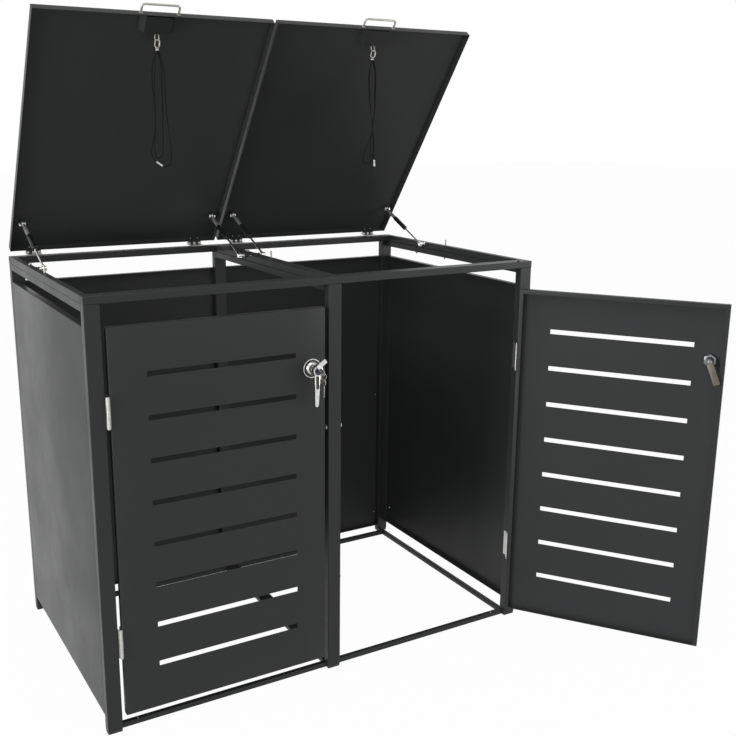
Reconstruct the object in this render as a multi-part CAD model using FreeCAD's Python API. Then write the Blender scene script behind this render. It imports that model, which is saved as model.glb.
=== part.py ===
"""Wheelie bin store for two bins: a powder-coated steel frame with sheet panels, two slotted doors
on hinges, two lids on gas struts, turning handle locks, and a cord with a snap hook under each lid.

Millimetres. +X to the right, +Y to the rear, +Z up. The origin is on the ground under the middle of
the frame. The pose is the one that it is shown in: left door closed, right door and both lids open.
"""
import FreeCAD
import Part
import math
import os

V = FreeCAD.Vector

# Frame
width = 1360.0
depth = 815.0
frame_height = 1168.0
post_width = 40.0
post_depth = 25.0
tube_wall = 1.5
tube_corner = 2.0
rail_height = 20.0
end_rail_depth = 40.0
side_rail_width = 20.0
bottom_rail = 15.0
bottom_rail_clearance = 2.0
bottom_rail_recess = 10.0
bottom_rear_inset = 50.0
bottom_side_inset = 29.0
bottom_middle_width = 45.0
foot_height = 8.0
foot_grip = 18.0
foot_rim = 0.8
plug_head = 2.0
plug_grip = 15.0
fit_gap = 0.2

# Wall panels
panel_sheet = 1.2
panel_flange = 20.0
panel_top_gap = 36.0
side_panel_bottom = 47.0
rear_panel_bottom = 25.0

# Bolts
rail_bolt_radius = 2.5
rail_bolt_front = 18.0
rail_bolt_rear = 190.0
rail_bolt_stand = 20.0
rail_bolt_inset = 5.0
rail_bolt_head = 3.0
rail_bolt_tail = 5.0
bolt_head_radius = 5.0
nut_across = 9.0
nut_height = 4.0
post_bolt_across = 13.0
post_bolt_head = 5.3
post_bolt_radius = 3.2
post_bolt_height = 746.0

# Doors
door_hinge_gap = 11.0
door_latch_gap = 13.0
door_bottom = 44.0
door_top_gap = 59.0
door_pan_depth = 20.0
door_proud = 3.0
door_sheet = 1.2
door_lip = 13.0
door_low_lip = 4.0
slot_count = 8
slot_length = 412.0
slot_height = 14.0
slot_pitch = 113.4
slot_first = 127.0
slot_offset = 3.5
door_open_angle = 125.8

# Door hinges
hinge_leaf_height = 80.0
hinge_leaf = 2.0
hinge_leaf_depth = 18.0
hinge_knuckle = 4.5
hinge_pin = 2.5
hinge_pin_cap = 1.5
hinge_cap_step = 0.5
hinge_running = 0.05
hinge_joint_gap = 0.4
hinge_low = 171.0
hinge_high = 794.0
knuckle_count = 3

# Locks
lock_from_edge = 42.0
lock_height = 925.0
rosette_radius = 27.0
rosette_depth = 9.0
lock_barrel_radius = 11.0
lock_nut_across = 32.0
lock_nut_depth = 8.0
lock_barrel_length = 16.0
rosette_rim_depth = 2.0
rosette_shoulder = 4.0
rosette_shoulder_depth = 6.3
rosette_face = 9.0
spindle_radius = 6.0
spindle_end_radius = 4.0
head_radius = 15.0
head_chamfer = 1.5
head_depth = 24.0
head_clearance = 0.5
neck_radius = 9.0
neck_depth = 8.0
grip_length = 86.0
grip_top = 17.0
grip_bottom = 13.0
grip_depth = 8.0
grip_back = 4.0
cam_length = 62.0
cam_width = 18.0
cam_depth = 3.0
cam_clearance = 1.0
cam_screw_head = 3.0
cam_hanging_tilt = 22.0
cover_length = 34.0
cover_width = 16.0
cover_depth = 2.5
cover_pin_radius = 1.5
cover_pin_depth = 6.0
cover_pin_offset = 11.5
cover_angle = 36.0
cylinder_radius = 6.5
cylinder_depth = 30.0
key_clearance = 0.2
key_depth = 2.0
key_bow_radius = 10.0
key_blade = 26.0
key_blade_width = 5.0
key_out = 16.0
key_hole_radius = 2.2
key_ring_radius = 8.0
key_ring_wire = 0.8

# Lids
lid_side_inset = 8.0
lid_middle_gap = 12.0
lid_front_inset = 6.0
lid_flange = 20.0
lid_sheet = 1.2
lid_lift = 3.5
lid_rear_overhang = 10.0
lid_open_angle = 53.45
lid_hinge_out = 19.5
lid_hinge_up = 5.5
lid_knuckle_count = 5
lid_hinge_width = 44.0
lid_hinge_inset = 70.0
bumper_radius = 4.0
bumper_from_side = 46.0

# Lid handles and the channel behind each one
handle_span = 104.0
handle_reach = 29.0
handle_wire = 3.0
handle_bend = 8.0
channel_width = 98.0
channel_start = 6.0
channel_length = 48.0
channel_depth = 16.0
channel_flank = 12.0
lug_length = 9.0
lug_thickness = 2.0
lug_hole = 2.2

# Gas struts
strut_from_rail = 20.0
strut_low_forward = 131.0
strut_low_drop = 5.0
strut_lid_place = 106.0
strut_lid_offset = 15.7
strut_eye_radius = 7.0
strut_eye_width = 13.0
strut_stud = 4.0
strut_stud_head = 5.5
strut_nut = 5.5
strut_nut_height = 6.0
strut_collar_radius = 6.0
strut_collar_end = 68.0
strut_sleeve_radius = 7.5
strut_sleeve_end = 143.0
strut_bore = 5.0
strut_bore_start = 25.0
strut_gland = 10.0
strut_rod_radius = 3.0
strut_piston = 8.0
strut_piston_start = 118.0
strut_bracket = 2.0
strut_bracket_length = 26.0
strut_bracket_reach = 16.0
strut_open_gap = 0.3

# Snap hook and cord under each lid
hook_wire = 1.5
hook_width = 15.0
hook_length = 36.0
hook_barrel_radius = 5.0
hook_barrel_length = 8.0
cord_radius = 1.5
cord_strand = 1.9
ferrule_radius = 3.2
ferrule_length = 20.0
ferrule_run_left = 10
ferrule_run_right = 37

# Points of each cord across, rearward and down from the hook's barrel, after its first point:
# the outer loop, the fold up into the barrel and the inner loop
cord_points_left = [
    (-4.0, 1.9, -11.0), (-13.0, 2.2, -28.0), (-17.0, 2.4, -55.5), (-16.5, 2.2, -94.5),
    (-13.5, 2.0, -138.5), (-12.5, 2.0, -183.5), (-17.0, 2.0, -223.5), (-25.0, 1.8, -254.0),
    (-28.0, 1.4, -274.0), (-18.0, 0.8, -290.0), (6.0, -0.6, -307.0), (22.0, -1.0, -305.5),
    (28.5, -1.4, -285.5), (28.5, -1.8, -255.5), (24.0, -1.9, -218.0), (20.0, -1.9, -172.5),
    (17.5, -1.9, -126.5), (18.0, -1.9, -83.0), (16.5, -1.9, -46.5), (11.0, -1.9, -22.5),
    (5.8, -1.9, -9.0), (3.2, -1.9, 2.2), (-3.2, -1.9, 2.2), (-5.0, -1.9, -9.5), (-8.0, -1.9, -21.5),
    (-9.0, -1.9, -42.5), (-12.0, -1.9, -76.0), (-13.0, -1.9, -120.5), (-12.0, -1.9, -167.5),
    (-13.5, -1.9, -211.5), (-18.5, -1.6, -247.5), (-18.5, -1.0, -273.0), (-8.5, 0.0, -286.5),
    (3.5, 1.0, -277.0), (8.0, 1.6, -250.0), (8.0, 1.9, -210.0), (10.0, 1.9, -162.0), (9.5, 1.9, -114.5),
    (11.5, 1.9, -72.5), (11.0, 1.9, -39.0), (6.0, 1.9, -14.5),
]
cord_points_right = [
    (-3.5, 1.9, -12.5), (-9.0, 2.2, -30.0), (-11.0, 2.6, -59.0), (-8.0, 3.2, -98.5), (-2.0, 4.2, -141.0),
    (5.0, 5.2, -178.5), (7.5, 5.3, -211.5), (13.5, 5.0, -243.0), (12.5, 5.8, -273.0), (2.5, 5.4, -296.5),
    (-15.0, 3.0, -309.5), (-29.0, 1.4, -301.0), (-28.5, -1.0, -279.0), (-18.5, -2.8, -254.0),
    (-7.0, -4.4, -229.0), (0.5, -5.3, -204.0), (3.5, -5.2, -172.5), (10.0, -4.2, -133.5),
    (11.0, -3.0, -92.5), (13.0, -2.2, -52.5), (10.5, -1.9, -25.0), (5.8, -1.9, -9.0), (3.2, -1.9, 2.2),
    (-3.2, -1.9, 2.2), (-5.0, -1.9, -9.5), (-8.0, -1.9, -20.0), (-9.0, -1.9, -38.5), (-11.0, -1.9, -60.5),
    (-9.0, -1.9, -100.0), (-5.5, -1.8, -140.0), (0.0, -1.8, -177.0), (1.5, -1.8, -208.0),
    (-3.0, -1.8, -241.0), (-4.5, -1.6, -274.5), (-3.0, -1.0, -300.0), (-0.5, 0.0, -318.5),
    (12.5, 1.4, -318.0), (11.5, 1.8, -293.5), (7.5, 1.8, -267.0), (9.5, 1.8, -238.5), (4.0, 1.8, -207.0),
    (9.0, 1.8, -172.5), (11.5, 1.8, -133.5), (11.0, 1.8, -92.0), (12.5, 1.8, -54.0), (11.0, 1.9, -26.5),
    (5.5, 1.9, -11.5),
]

# Worked out from the sizes above
half_width = width / 2
half_depth = depth / 2
post_inner_x = half_width - post_width
post_inner_y = half_depth - post_depth
rail_bottom = frame_height - rail_height
second_bottom = rail_bottom - rail_height
side_rail_inner_x = half_width - side_rail_width
end_rail_inner_y = half_depth - end_rail_depth
panel_top = second_bottom - panel_top_gap
door_hinge_edge = post_inner_x - door_hinge_gap
door_free_edge = post_width / 2 + door_latch_gap
door_top = rail_bottom - door_top_gap
door_front_y = -half_depth - door_proud
door_back_y = door_front_y + door_pan_depth
door_axis_x = post_inner_x - door_hinge_gap / 2
door_axis_y = door_front_y - 1.0
lid_inner_x = lid_middle_gap / 2
lid_outer_x = half_width - lid_side_inset
lid_middle_x = (lid_inner_x + lid_outer_x) / 2
lid_under = frame_height + lid_lift
lid_top = lid_under + lid_flange
lid_inside = lid_top - lid_sheet
lid_rear = half_depth + lid_rear_overhang
lid_front = -half_depth + lid_front_inset
lid_axis_y = half_depth + lid_hinge_out
lid_axis_z = frame_height + lid_hinge_up
lock_x = door_free_edge + lock_from_edge
cam_y = -post_inner_y + cam_clearance
head_back_y = door_front_y - rosette_depth - neck_depth
head_front_y = head_back_y - head_depth
strut_low_y = strut_low_forward
strut_low_z = frame_height - strut_low_drop
strut_outer_x = side_rail_inner_x - strut_from_rail
strut_inner_x = post_width / 2 + strut_from_rail


def box(x0, x1, y0, y1, z0, z1):
    """A block between two corners, given in any order."""
    low = V(min(x0, x1), min(y0, y1), min(z0, z1))
    return Part.makeBox(abs(x1 - x0), abs(y1 - y0), abs(z1 - z0), low)


def rod(start, end, radius):
    """A round bar from one point to another."""
    line = end - start
    return Part.makeCylinder(radius, line.Length, start, line)


def hexagon(centre, axis, across, height):
    """A hexagonal nut or bolt head from a point along an axis."""
    side = across / math.sqrt(3)
    frame = FreeCAD.Rotation(V(0, 0, 1), axis)
    corners = []
    for k in range(7):
        turn = math.radians(60 * k)
        corners.append(centre + frame.multVec(V(side * math.cos(turn), side * math.sin(turn), 0)))
    return Part.Face(Part.makePolygon(corners)).extrude(axis * height)


def edges_along(shape, axis):
    """The straight edges of a shape that lie along an axis."""
    found = []
    for edge in shape.Edges:
        if edge.Curve.TypeId != "Part::GeomLine":
            continue
        direction = edge.tangentAt(edge.FirstParameter)
        if abs(abs(direction.dot(axis)) - 1) < 1e-6:
            found.append(edge)
    return found


def tube(x0, x1, y0, y1, z0, z1, axis):
    """A rectangular tube with rounded corners, open at both ends along an axis."""
    outer = box(x0, x1, y0, y1, z0, z1)
    outer = outer.makeFillet(tube_corner, edges_along(outer, axis))
    over = [tube_wall, tube_wall, tube_wall]
    for k in range(3):
        if abs(axis[k]) > 0.5:
            over[k] = -1.0
    hollow = box(x0 + over[0], x1 - over[0], y0 + over[1], y1 - over[1], z0 + over[2], z1 - over[2])
    return outer.cut(hollow)


def pan(low, high, open_side, sheet, lip=0.0):
    """A folded sheet pan: a plate with flanges on four sides, and a lip turned in where one is asked.
    open_side is the unit vector that points out of the open side."""
    pad = [sheet, sheet, sheet]
    inner_low = V(*[low[k] + pad[k] for k in range(3)])
    inner_high = V(*[high[k] - pad[k] for k in range(3)])
    mouth_low = V(*[low[k] + max(lip, sheet) for k in range(3)])
    mouth_high = V(*[high[k] - max(lip, sheet) for k in range(3)])
    for k in range(3):
        if abs(open_side[k]) < 0.5:
            continue
        if open_side[k] > 0:
            mouth_low[k], mouth_high[k] = inner_low[k], high[k] + 1
            inner_high[k] = high[k] - sheet if lip else high[k] + 1
        else:
            mouth_low[k], mouth_high[k] = low[k] - 1, inner_high[k]
            inner_low[k] = low[k] + sheet if lip else low[k] - 1
    shape = box(low.x, high.x, low.y, high.y, low.z, high.z)
    shape = shape.cut(box(inner_low.x, inner_high.x, inner_low.y, inner_high.y, inner_low.z, inner_high.z))
    return shape.cut(box(mouth_low.x, mouth_high.x, mouth_low.y, mouth_high.y, mouth_low.z, mouth_high.z))


def mirrored(shape):
    """The same shape on the other side of the store."""
    return shape.mirror(V(0, 0, 0), V(1, 0, 0))


def both_sides(shapes):
    """Shapes of the right side with their mirror images."""
    return shapes + [mirrored(shape) for shape in shapes]


def group(shapes):
    """Separate solids kept as one node."""
    return Part.makeCompound(shapes)


def turned(shape, centre, axis, angle):
    """A copy of a shape turned about an axis."""
    copy = shape.copy()
    copy.rotate(centre, axis, angle)
    return copy


def wire_bar(path_edges, start, direction, radius):
    """A round wire bent along a path."""
    profile = Part.Wire(Part.makeCircle(radius, start, direction))
    return Part.Wire(path_edges).makePipeShell([profile], True, True)


def sorted_tube(x0, x1, y0, y1, z0, z1, axis):
    """A tube between corners given in any order."""
    xs, ys, zs = sorted((x0, x1)), sorted((y0, y1)), sorted((z0, z1))
    return tube(xs[0], xs[1], ys[0], ys[1], zs[0], zs[1], axis)


def make_posts():
    """The six posts."""
    places = {"left": -half_width + post_width / 2, "middle": 0.0, "right": half_width - post_width / 2}
    nodes = {}
    for name, x in places.items():
        for row, side in (("front", -1), ("rear", 1)):
            x0 = x - post_width / 2
            nodes["post_%s_%s" % (row, name)] = sorted_tube(
                x0, x0 + post_width, side * post_inner_y, side * half_depth, foot_height, rail_bottom,
                V(0, 0, 1))
    return nodes


def foot_cap(x, side):
    """A plastic cap under a post, with a plug that fills the end of the tube."""
    x0, x1 = x - post_width / 2, x + post_width / 2
    y0, y1 = sorted((side * post_inner_y, side * half_depth))
    sole = box(x0 + foot_rim, x1 - foot_rim, y0 + foot_rim, y1 - foot_rim, 0, foot_height)
    sole = sole.makeFillet(tube_corner, edges_along(sole, V(0, 0, 1)))
    inset = tube_wall + fit_gap
    plug = box(x0 + inset, x1 - inset, y0 + inset, y1 - inset, foot_height, foot_height + foot_grip)
    return sole.fuse(plug)


def make_foot_caps():
    """The caps of the six posts."""
    caps = []
    for x in (-half_width + post_width / 2, 0.0, half_width - post_width / 2):
        for side in (-1, 1):
            caps.append(foot_cap(x, side))
    return {"foot_caps": group(caps)}


def make_top_rails():
    """The top ring and its middle rail."""
    along_x, along_y = V(1, 0, 0), V(0, 1, 0)
    end_x = half_width - plug_head
    z0, z1 = rail_bottom, frame_height
    reach = end_rail_inner_y
    half_post = post_width / 2
    return {
        "top_rail_front": tube(-end_x, end_x, -half_depth, -reach, z0, z1, along_x),
        "top_rail_rear": tube(-end_x, end_x, reach, half_depth, z0, z1, along_x),
        "top_rail_left": tube(-half_width, -side_rail_inner_x, -reach, reach, z0, z1, along_y),
        "top_rail_right": tube(side_rail_inner_x, half_width, -reach, reach, z0, z1, along_y),
        "top_rail_middle": tube(-half_post, half_post, -reach, reach, z0, z1, along_y),
    }


def end_plug(side):
    """A plastic plug in the right-hand end of a top rail."""
    y0, y1 = sorted((side * end_rail_inner_y, side * half_depth))
    x1 = half_width - plug_head
    head = box(x1, half_width, y0, y1, rail_bottom, frame_height)
    head = head.makeFillet(tube_corner, edges_along(head, V(1, 0, 0)))
    inset = tube_wall + fit_gap
    grip = box(x1 - plug_grip, x1, y0 + inset, y1 - inset, rail_bottom + inset, frame_height - inset)
    return head.fuse(grip)


def make_end_plugs():
    """The plugs in the four open ends of the top rails."""
    return {"rail_end_plugs": group(both_sides([end_plug(-1), end_plug(1)]))}


def make_second_rails():
    """The rails under the left, middle and right top rails, between the posts."""
    spans = ((-half_width, -side_rail_inner_x), (-post_width / 2, post_width / 2),
             (side_rail_inner_x, half_width))
    rails = []
    for x0, x1 in spans:
        rails.append(tube(x0, x1, -post_inner_y, post_inner_y, second_bottom, rail_bottom, V(0, 1, 0)))
    return {"second_rails": group(rails)}


def make_bottom_rails():
    """The low frame that ties the feet of the posts together."""
    z0, z1 = bottom_rail_clearance, bottom_rail_clearance + bottom_rail
    half_middle = bottom_middle_width / 2
    side_x = half_width - bottom_side_inset
    front_y = -half_depth + bottom_rail_recess
    rear_y = half_depth - bottom_rear_inset
    front = tube(post_width / 2, post_inner_x, front_y, front_y + bottom_rail, z0, z1, V(1, 0, 0))
    rear = tube(half_middle, side_x - bottom_rail, rear_y - bottom_rail, rear_y, z0, z1, V(1, 0, 0))
    right = tube(side_x - bottom_rail, side_x, -post_inner_y, post_inner_y, z0, z1, V(0, 1, 0))
    middle = tube(-half_middle, half_middle, -post_inner_y, post_inner_y, z0, z1, V(0, 1, 0))
    return {
        "bottom_rail_front": group(both_sides([front])),
        "bottom_rail_rear": group(both_sides([rear])),
        "bottom_rails_depth": group(both_sides([right]) + [middle]),
    }


def make_panels():
    """The side and rear panels, flush with the outside of the posts."""
    side = pan(V(half_width - panel_flange, -post_inner_y, side_panel_bottom),
               V(half_width, post_inner_y, panel_top), V(-1, 0, 0), panel_sheet)
    rear = pan(V(post_width / 2, half_depth - panel_flange, rear_panel_bottom),
               V(post_inner_x, half_depth, panel_top), V(0, -1, 0), panel_sheet)
    return {
        "side_panel_right": side,
        "side_panel_left": mirrored(side),
        "rear_panel_right": rear,
        "rear_panel_left": mirrored(rear),
    }


def rail_bolt(x, y, stand):
    """A long bolt down through a top rail and its second rail, with a nut below."""
    top = frame_height + stand
    shank = rod(V(x, y, second_bottom - rail_bolt_tail), V(x, y, top), rail_bolt_radius)
    bolt = shank
    if stand <= rail_bolt_head:
        bolt = shank.fuse(rod(V(x, y, frame_height), V(x, y, top), bolt_head_radius))
    nut = hexagon(V(x, y, second_bottom), V(0, 0, -1), nut_across, nut_height)
    return bolt.fuse(nut)


def make_bolts():
    """Bolts through the rails, and the one through the middle post with its head and nut."""
    inset = rail_bolt_inset
    bolts = []
    for x in (-side_rail_inner_x - inset, side_rail_inner_x + inset, post_width / 2 - inset - 1):
        bolts.append(rail_bolt(x, rail_bolt_front, rail_bolt_stand))
        bolts.append(rail_bolt(x, rail_bolt_rear, rail_bolt_head))
    x = post_width / 2
    y = -half_depth + post_depth / 2
    z = post_bolt_height
    head = hexagon(V(x, y, z), V(1, 0, 0), post_bolt_across, post_bolt_head)
    nut = hexagon(V(-x, y, z), V(-1, 0, 0), post_bolt_across, post_bolt_head)
    shank = rod(V(-x, y, z), V(x, y, z), post_bolt_radius)
    bolts.append(head.fuse([nut, shank]))
    return {"frame_bolts": group(bolts)}


def bolted(nodes):
    """Cuts the bolts' holes into the rails and the middle post."""
    holes = []
    for solid in nodes["frame_bolts"].Solids:
        middle = solid.CenterOfMass
        if middle.z > panel_top:
            holes.append(rod(V(middle.x, middle.y, second_bottom - 1), V(middle.x, middle.y, frame_height + 1),
                             rail_bolt_radius))
        else:
            holes.append(rod(V(-post_width, middle.y, middle.z), V(post_width, middle.y, middle.z),
                             post_bolt_radius))
    for name in ("top_rail_left", "top_rail_right", "top_rail_middle", "second_rails", "post_front_middle"):
        shapes = [solid.cut(holes) for solid in nodes[name].Solids]
        nodes[name] = group(shapes) if len(shapes) > 1 else shapes[0]
    return nodes


def knuckle_spans(length, count):
    """Start and end of each knuckle of a hinge, alternating between its two leaves."""
    step = length / count
    spans = []
    for k in range(count):
        spans.append((k * step + hinge_joint_gap / 2, (k + 1) * step - hinge_joint_gap / 2))
    return spans


def hinge_leaf_solid(plate, start, axis, length, count, own):
    """A leaf with its knuckles: own is 0 for the odd knuckles and 1 for the even ones."""
    shape = plate
    for k, (low, high) in enumerate(knuckle_spans(length, count)):
        barrel = Part.makeCylinder(hinge_knuckle, high - low, start + axis * low, axis)
        if k % 2 == own:
            shape = shape.fuse(barrel)
        else:
            room = Part.makeCylinder(hinge_knuckle + hinge_joint_gap, high - low + 2 * hinge_joint_gap,
                                     start + axis * (low - hinge_joint_gap), axis)
            shape = shape.cut(room)
    bore = Part.makeCylinder(hinge_pin + (hinge_running if own else 0), length + 2, start - axis, axis)
    return shape.cut(bore).removeSplitter()


def hinge_pin_solid(start, axis, length):
    """The pin of a hinge with a cap at each end."""
    pin = Part.makeCylinder(hinge_pin, length, start, axis)
    for base in (start - axis * hinge_pin_cap, start + axis * length):
        pin = pin.fuse(Part.makeCylinder(hinge_knuckle - hinge_cap_step, hinge_pin_cap, base, axis))
    return pin


def make_door_hinges():
    """Leaves on the posts, leaves on the closed right door, and pins, for both hinges of a door."""
    post_leaves, door_leaves, pins = [], [], []
    axis = V(0, 0, 1)
    for z in (door_bottom + hinge_low, door_bottom + hinge_high):
        start = V(door_axis_x, door_axis_y, z)
        back = -half_depth + hinge_leaf_depth
        post_plate = box(post_inner_x - hinge_leaf, post_inner_x, door_axis_y, back, z, z + hinge_leaf_height)
        door_plate = box(door_hinge_edge, door_hinge_edge + hinge_leaf, door_axis_y, back,
                         z, z + hinge_leaf_height)
        post_leaves.append(hinge_leaf_solid(post_plate, start, axis, hinge_leaf_height, knuckle_count, 0))
        door_leaves.append(hinge_leaf_solid(door_plate, start, axis, hinge_leaf_height, knuckle_count, 1))
        pins.append(hinge_pin_solid(start, axis, hinge_leaf_height))
    return post_leaves, door_leaves, pins


def closed_door():
    """The right door where it is when closed: a slotted pan with a lip turned in all round."""
    shape = pan(V(door_free_edge, door_front_y, door_bottom), V(door_hinge_edge, door_back_y, door_top),
                V(0, 1, 0), door_sheet, door_lip)
    shape = shape.cut(box(door_free_edge + door_lip, door_hinge_edge - door_lip, door_back_y - door_sheet,
                          door_back_y, door_bottom + door_low_lip, door_bottom + door_lip))
    middle = (door_free_edge + door_hinge_edge) / 2 - slot_offset
    for k in range(slot_count):
        z = door_bottom + slot_first + k * slot_pitch
        shape = shape.cut(box(middle - slot_length / 2, middle + slot_length / 2, door_front_y - 1,
                              door_front_y + 2 * door_sheet, z - slot_height / 2, z + slot_height / 2))
    hole = rod(V(lock_x, door_front_y - 1, lock_height), V(lock_x, door_back_y, lock_height),
               lock_barrel_radius)
    return shape.cut(hole)


def lock_body():
    """Rosette, threaded barrel and nut of a lock on the closed right door."""
    y = door_front_y
    rim = rosette_radius
    profile = Part.makePolygon([
        V(0, 0, 0), V(rim, 0, 0), V(rim, -rosette_rim_depth, 0),
        V(rim - rosette_shoulder, -rosette_shoulder_depth, 0), V(rim - rosette_face, -rosette_depth, 0),
        V(0, -rosette_depth, 0), V(0, 0, 0)])
    rosette = Part.Face(profile).revolve(V(0, 0, 0), V(0, 1, 0), 360)
    barrel_end = lock_barrel_length
    body = rosette.fuse(rod(V(0, 0, 0), V(0, barrel_end, 0), lock_barrel_radius))
    body = body.cut(rod(V(0, -rosette_depth - 1, 0), V(0, barrel_end + 1, 0),
                        spindle_radius + hinge_running))
    nut = hexagon(V(0, door_sheet, 0), V(0, 1, 0), lock_nut_across, lock_nut_depth)
    nut = nut.cut(rod(V(0, 0, 0), V(0, barrel_end, 0), lock_barrel_radius))
    place = V(lock_x, y, lock_height)
    return group([body.translated(place), nut.translated(place)])


def lock_handle():
    """Neck, head, hanging grip and spindle of a lock handle on the closed right door."""
    neck_start = door_front_y - rosette_depth - head_clearance
    centre = V(lock_x, 0, lock_height)
    neck = rod(centre + V(0, neck_start, 0), centre + V(0, head_back_y, 0), neck_radius)
    head = rod(centre + V(0, head_back_y, 0), centre + V(0, head_front_y, 0), head_radius)
    head = head.makeChamfer(head_chamfer, [edge for edge in head.Edges if edge.Curve.TypeId == "Part::GeomCircle"])
    spindle = rod(centre + V(0, head_back_y, 0), centre + V(0, cam_y, 0), spindle_radius)
    end = rod(centre + V(0, cam_y, 0), centre + V(0, cam_y + cam_depth, 0), spindle_end_radius)
    y0 = head_front_y + grip_back
    top = lock_height - head_radius / 2
    bottom = lock_height - head_radius - grip_length
    outline = Part.makePolygon([
        V(lock_x - grip_top / 2, y0, top), V(lock_x + grip_top / 2, y0, top),
        V(lock_x + grip_bottom / 2, y0, bottom), V(lock_x - grip_bottom / 2, y0, bottom),
        V(lock_x - grip_top / 2, y0, top)])
    grip = Part.Face(outline).extrude(V(0, grip_depth, 0))
    foot = Part.makeCylinder(grip_bottom / 2, grip_depth, V(lock_x, y0, bottom), V(0, 1, 0))
    shape = head.fuse([neck, spindle, end, grip, foot]).removeSplitter()
    bore = cylinder_radius + hinge_running
    shape = shape.cut(rod(centre + V(0, head_front_y - 1, 0), centre + V(0, head_front_y + cylinder_depth, 0),
                          bore))
    pin = cover_pin_radius + hinge_running
    pin_hole = centre + V(0, head_front_y, cover_pin_offset)
    return shape.cut(rod(pin_hole - V(0, 1, 0), pin_hole + V(0, cover_pin_depth + 1, 0), pin))


def lock_cylinder():
    """The plug that a key turns, in the head of the closed right door's handle."""
    centre = V(lock_x, head_front_y, lock_height)
    plug = rod(centre, centre + V(0, cylinder_depth - 0.2, 0), cylinder_radius)
    wide = key_depth / 2 + key_clearance
    tall = key_blade_width / 2 + key_clearance
    return plug.cut(box(lock_x - wide, lock_x + wide, head_front_y - 1, head_front_y + key_blade + 1,
                        lock_height - tall, lock_height + tall))


def lock_cam():
    """The cam lever behind the closed right door, hanging down, with its screw head."""
    y0, y1 = cam_y, cam_y + cam_depth
    centre = V(lock_x, 0, lock_height)
    lever = box(lock_x - cam_width / 2, lock_x + cam_width / 2, y0, y1, lock_height - cam_length,
                lock_height)
    tip = Part.makeCylinder(cam_width / 2, cam_depth, V(lock_x, y0, lock_height - cam_length), V(0, 1, 0))
    eye = Part.makeCylinder(cam_width / 2, cam_depth, V(lock_x, y0, lock_height), V(0, 1, 0))
    lever = lever.fuse([tip, eye]).removeSplitter()
    lever = lever.cut(rod(centre + V(0, y0 - 1, 0), centre + V(0, y1 + 1, 0), spindle_end_radius))
    screw = rod(centre + V(0, y1, 0), centre + V(0, y1 + cam_screw_head, 0), spindle_radius)
    return group([lever, screw])


def keyhole_cover():
    """The small flap that swivels over the keyhole, swung aside, on the closed right door."""
    y1 = head_front_y
    y0 = y1 - cover_depth
    pin = V(lock_x, 0, lock_height + cover_pin_offset)
    reach = cover_length - cover_width
    flap = box(pin.x, pin.x + reach + cover_width / 2, y0, y1, pin.z - cover_width / 2, pin.z + cover_width / 2)
    end = Part.makeCylinder(cover_width / 2, cover_depth, V(pin.x, y0, pin.z), V(0, 1, 0))
    shape = flap.fuse(end).removeSplitter()
    shape = shape.makeFillet(2.0, [edge for edge in edges_along(shape, V(0, 1, 0))
                                   if edge.CenterOfMass.x > pin.x + reach])
    stem = rod(V(pin.x, y1 - 1, pin.z), V(pin.x, y1 + cover_pin_depth, pin.z), cover_pin_radius)
    shape = shape.fuse(stem).translated(V(0, -hinge_joint_gap, 0))
    return turned(shape, pin, V(0, -1, 0), cover_angle)


def key_solid():
    """A flat key that points into a keyhole at the origin, its bow at -Y."""
    blade = box(-key_depth / 2, key_depth / 2, -key_out, key_blade, -key_blade_width / 2, key_blade_width / 2)
    bow_centre = V(-key_depth / 2, -key_out - key_bow_radius + 2, 0)
    bow = Part.makeCylinder(key_bow_radius, key_depth, bow_centre, V(1, 0, 0))
    hole_centre = bow_centre - V(1, key_bow_radius * 0.5, 0)
    hole = Part.makeCylinder(key_hole_radius, key_depth + 2, hole_centre, V(1, 0, 0))
    return blade.fuse(bow).removeSplitter().cut(hole)


def make_keys():
    """The left lock's plug with its key, and a spare key on a ring that hangs from the bow."""
    place = V(-lock_x, head_front_y, lock_height)
    key = key_solid().translated(place)
    hole_back = key_out + key_bow_radius * 1.5 - 2
    slack = key_hole_radius - key_ring_wire - 0.2
    ring_centre = place - V(0, hole_back, slack + key_ring_radius)
    loop = Part.makeTorus(key_ring_radius, key_ring_wire, ring_centre, V(0, 1, 0))
    spare = turned(key_solid(), V(0, 0, 0), V(1, 0, 0), -90)
    spare = spare.translated(ring_centre - V(0, 0, key_ring_radius + slack + hole_back))
    return group([mirrored(lock_cylinder()), key, spare, loop])


def make_doors():
    """Both doors with their hinges and locks, the right one swung open."""
    post_leaves, door_leaves, pins = make_door_hinges()
    centre = V(lock_x, 0, lock_height)
    tilt = cam_hanging_tilt
    right = {
        "door_panel_right": closed_door(),
        "door_hinge_leaves_right": group(door_leaves),
        "lock_body_right": lock_body(),
    }
    handle = lock_handle()
    cam = lock_cam()
    cover = keyhole_cover()
    to_left = V(-2 * lock_x, 0, 0)
    nodes = {
        "door_hinge_post_leaves": group(both_sides(post_leaves)),
        "lock_handle_left": mirrored(handle),
        "lock_cam_left": mirrored(cam),
        "keyhole_cover_left": cover.translated(to_left),
        "lock_cylinder_and_keys": make_keys(),
    }
    for name in list(right):
        nodes[name.replace("right", "left")] = mirrored(right[name])
    with_cylinder = group([handle, lock_cylinder()])
    right["lock_handle_right"] = turned(with_cylinder, centre, V(0, 1, 0), tilt)
    right["lock_cam_right"] = turned(cam, centre, V(0, 1, 0), tilt)
    right["keyhole_cover_right"] = turned(cover, centre, V(0, 1, 0), tilt)
    door_axis = V(door_axis_x, door_axis_y, 0)
    for name, shape in right.items():
        nodes[name] = turned(shape, door_axis, V(0, 0, 1), door_open_angle)
    return nodes, both_sides(pins)


def lid_hinge_places():
    """Middle of each hinge along X on the right lid."""
    return (lid_inner_x + lid_hinge_inset, lid_outer_x - lid_hinge_inset)


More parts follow.
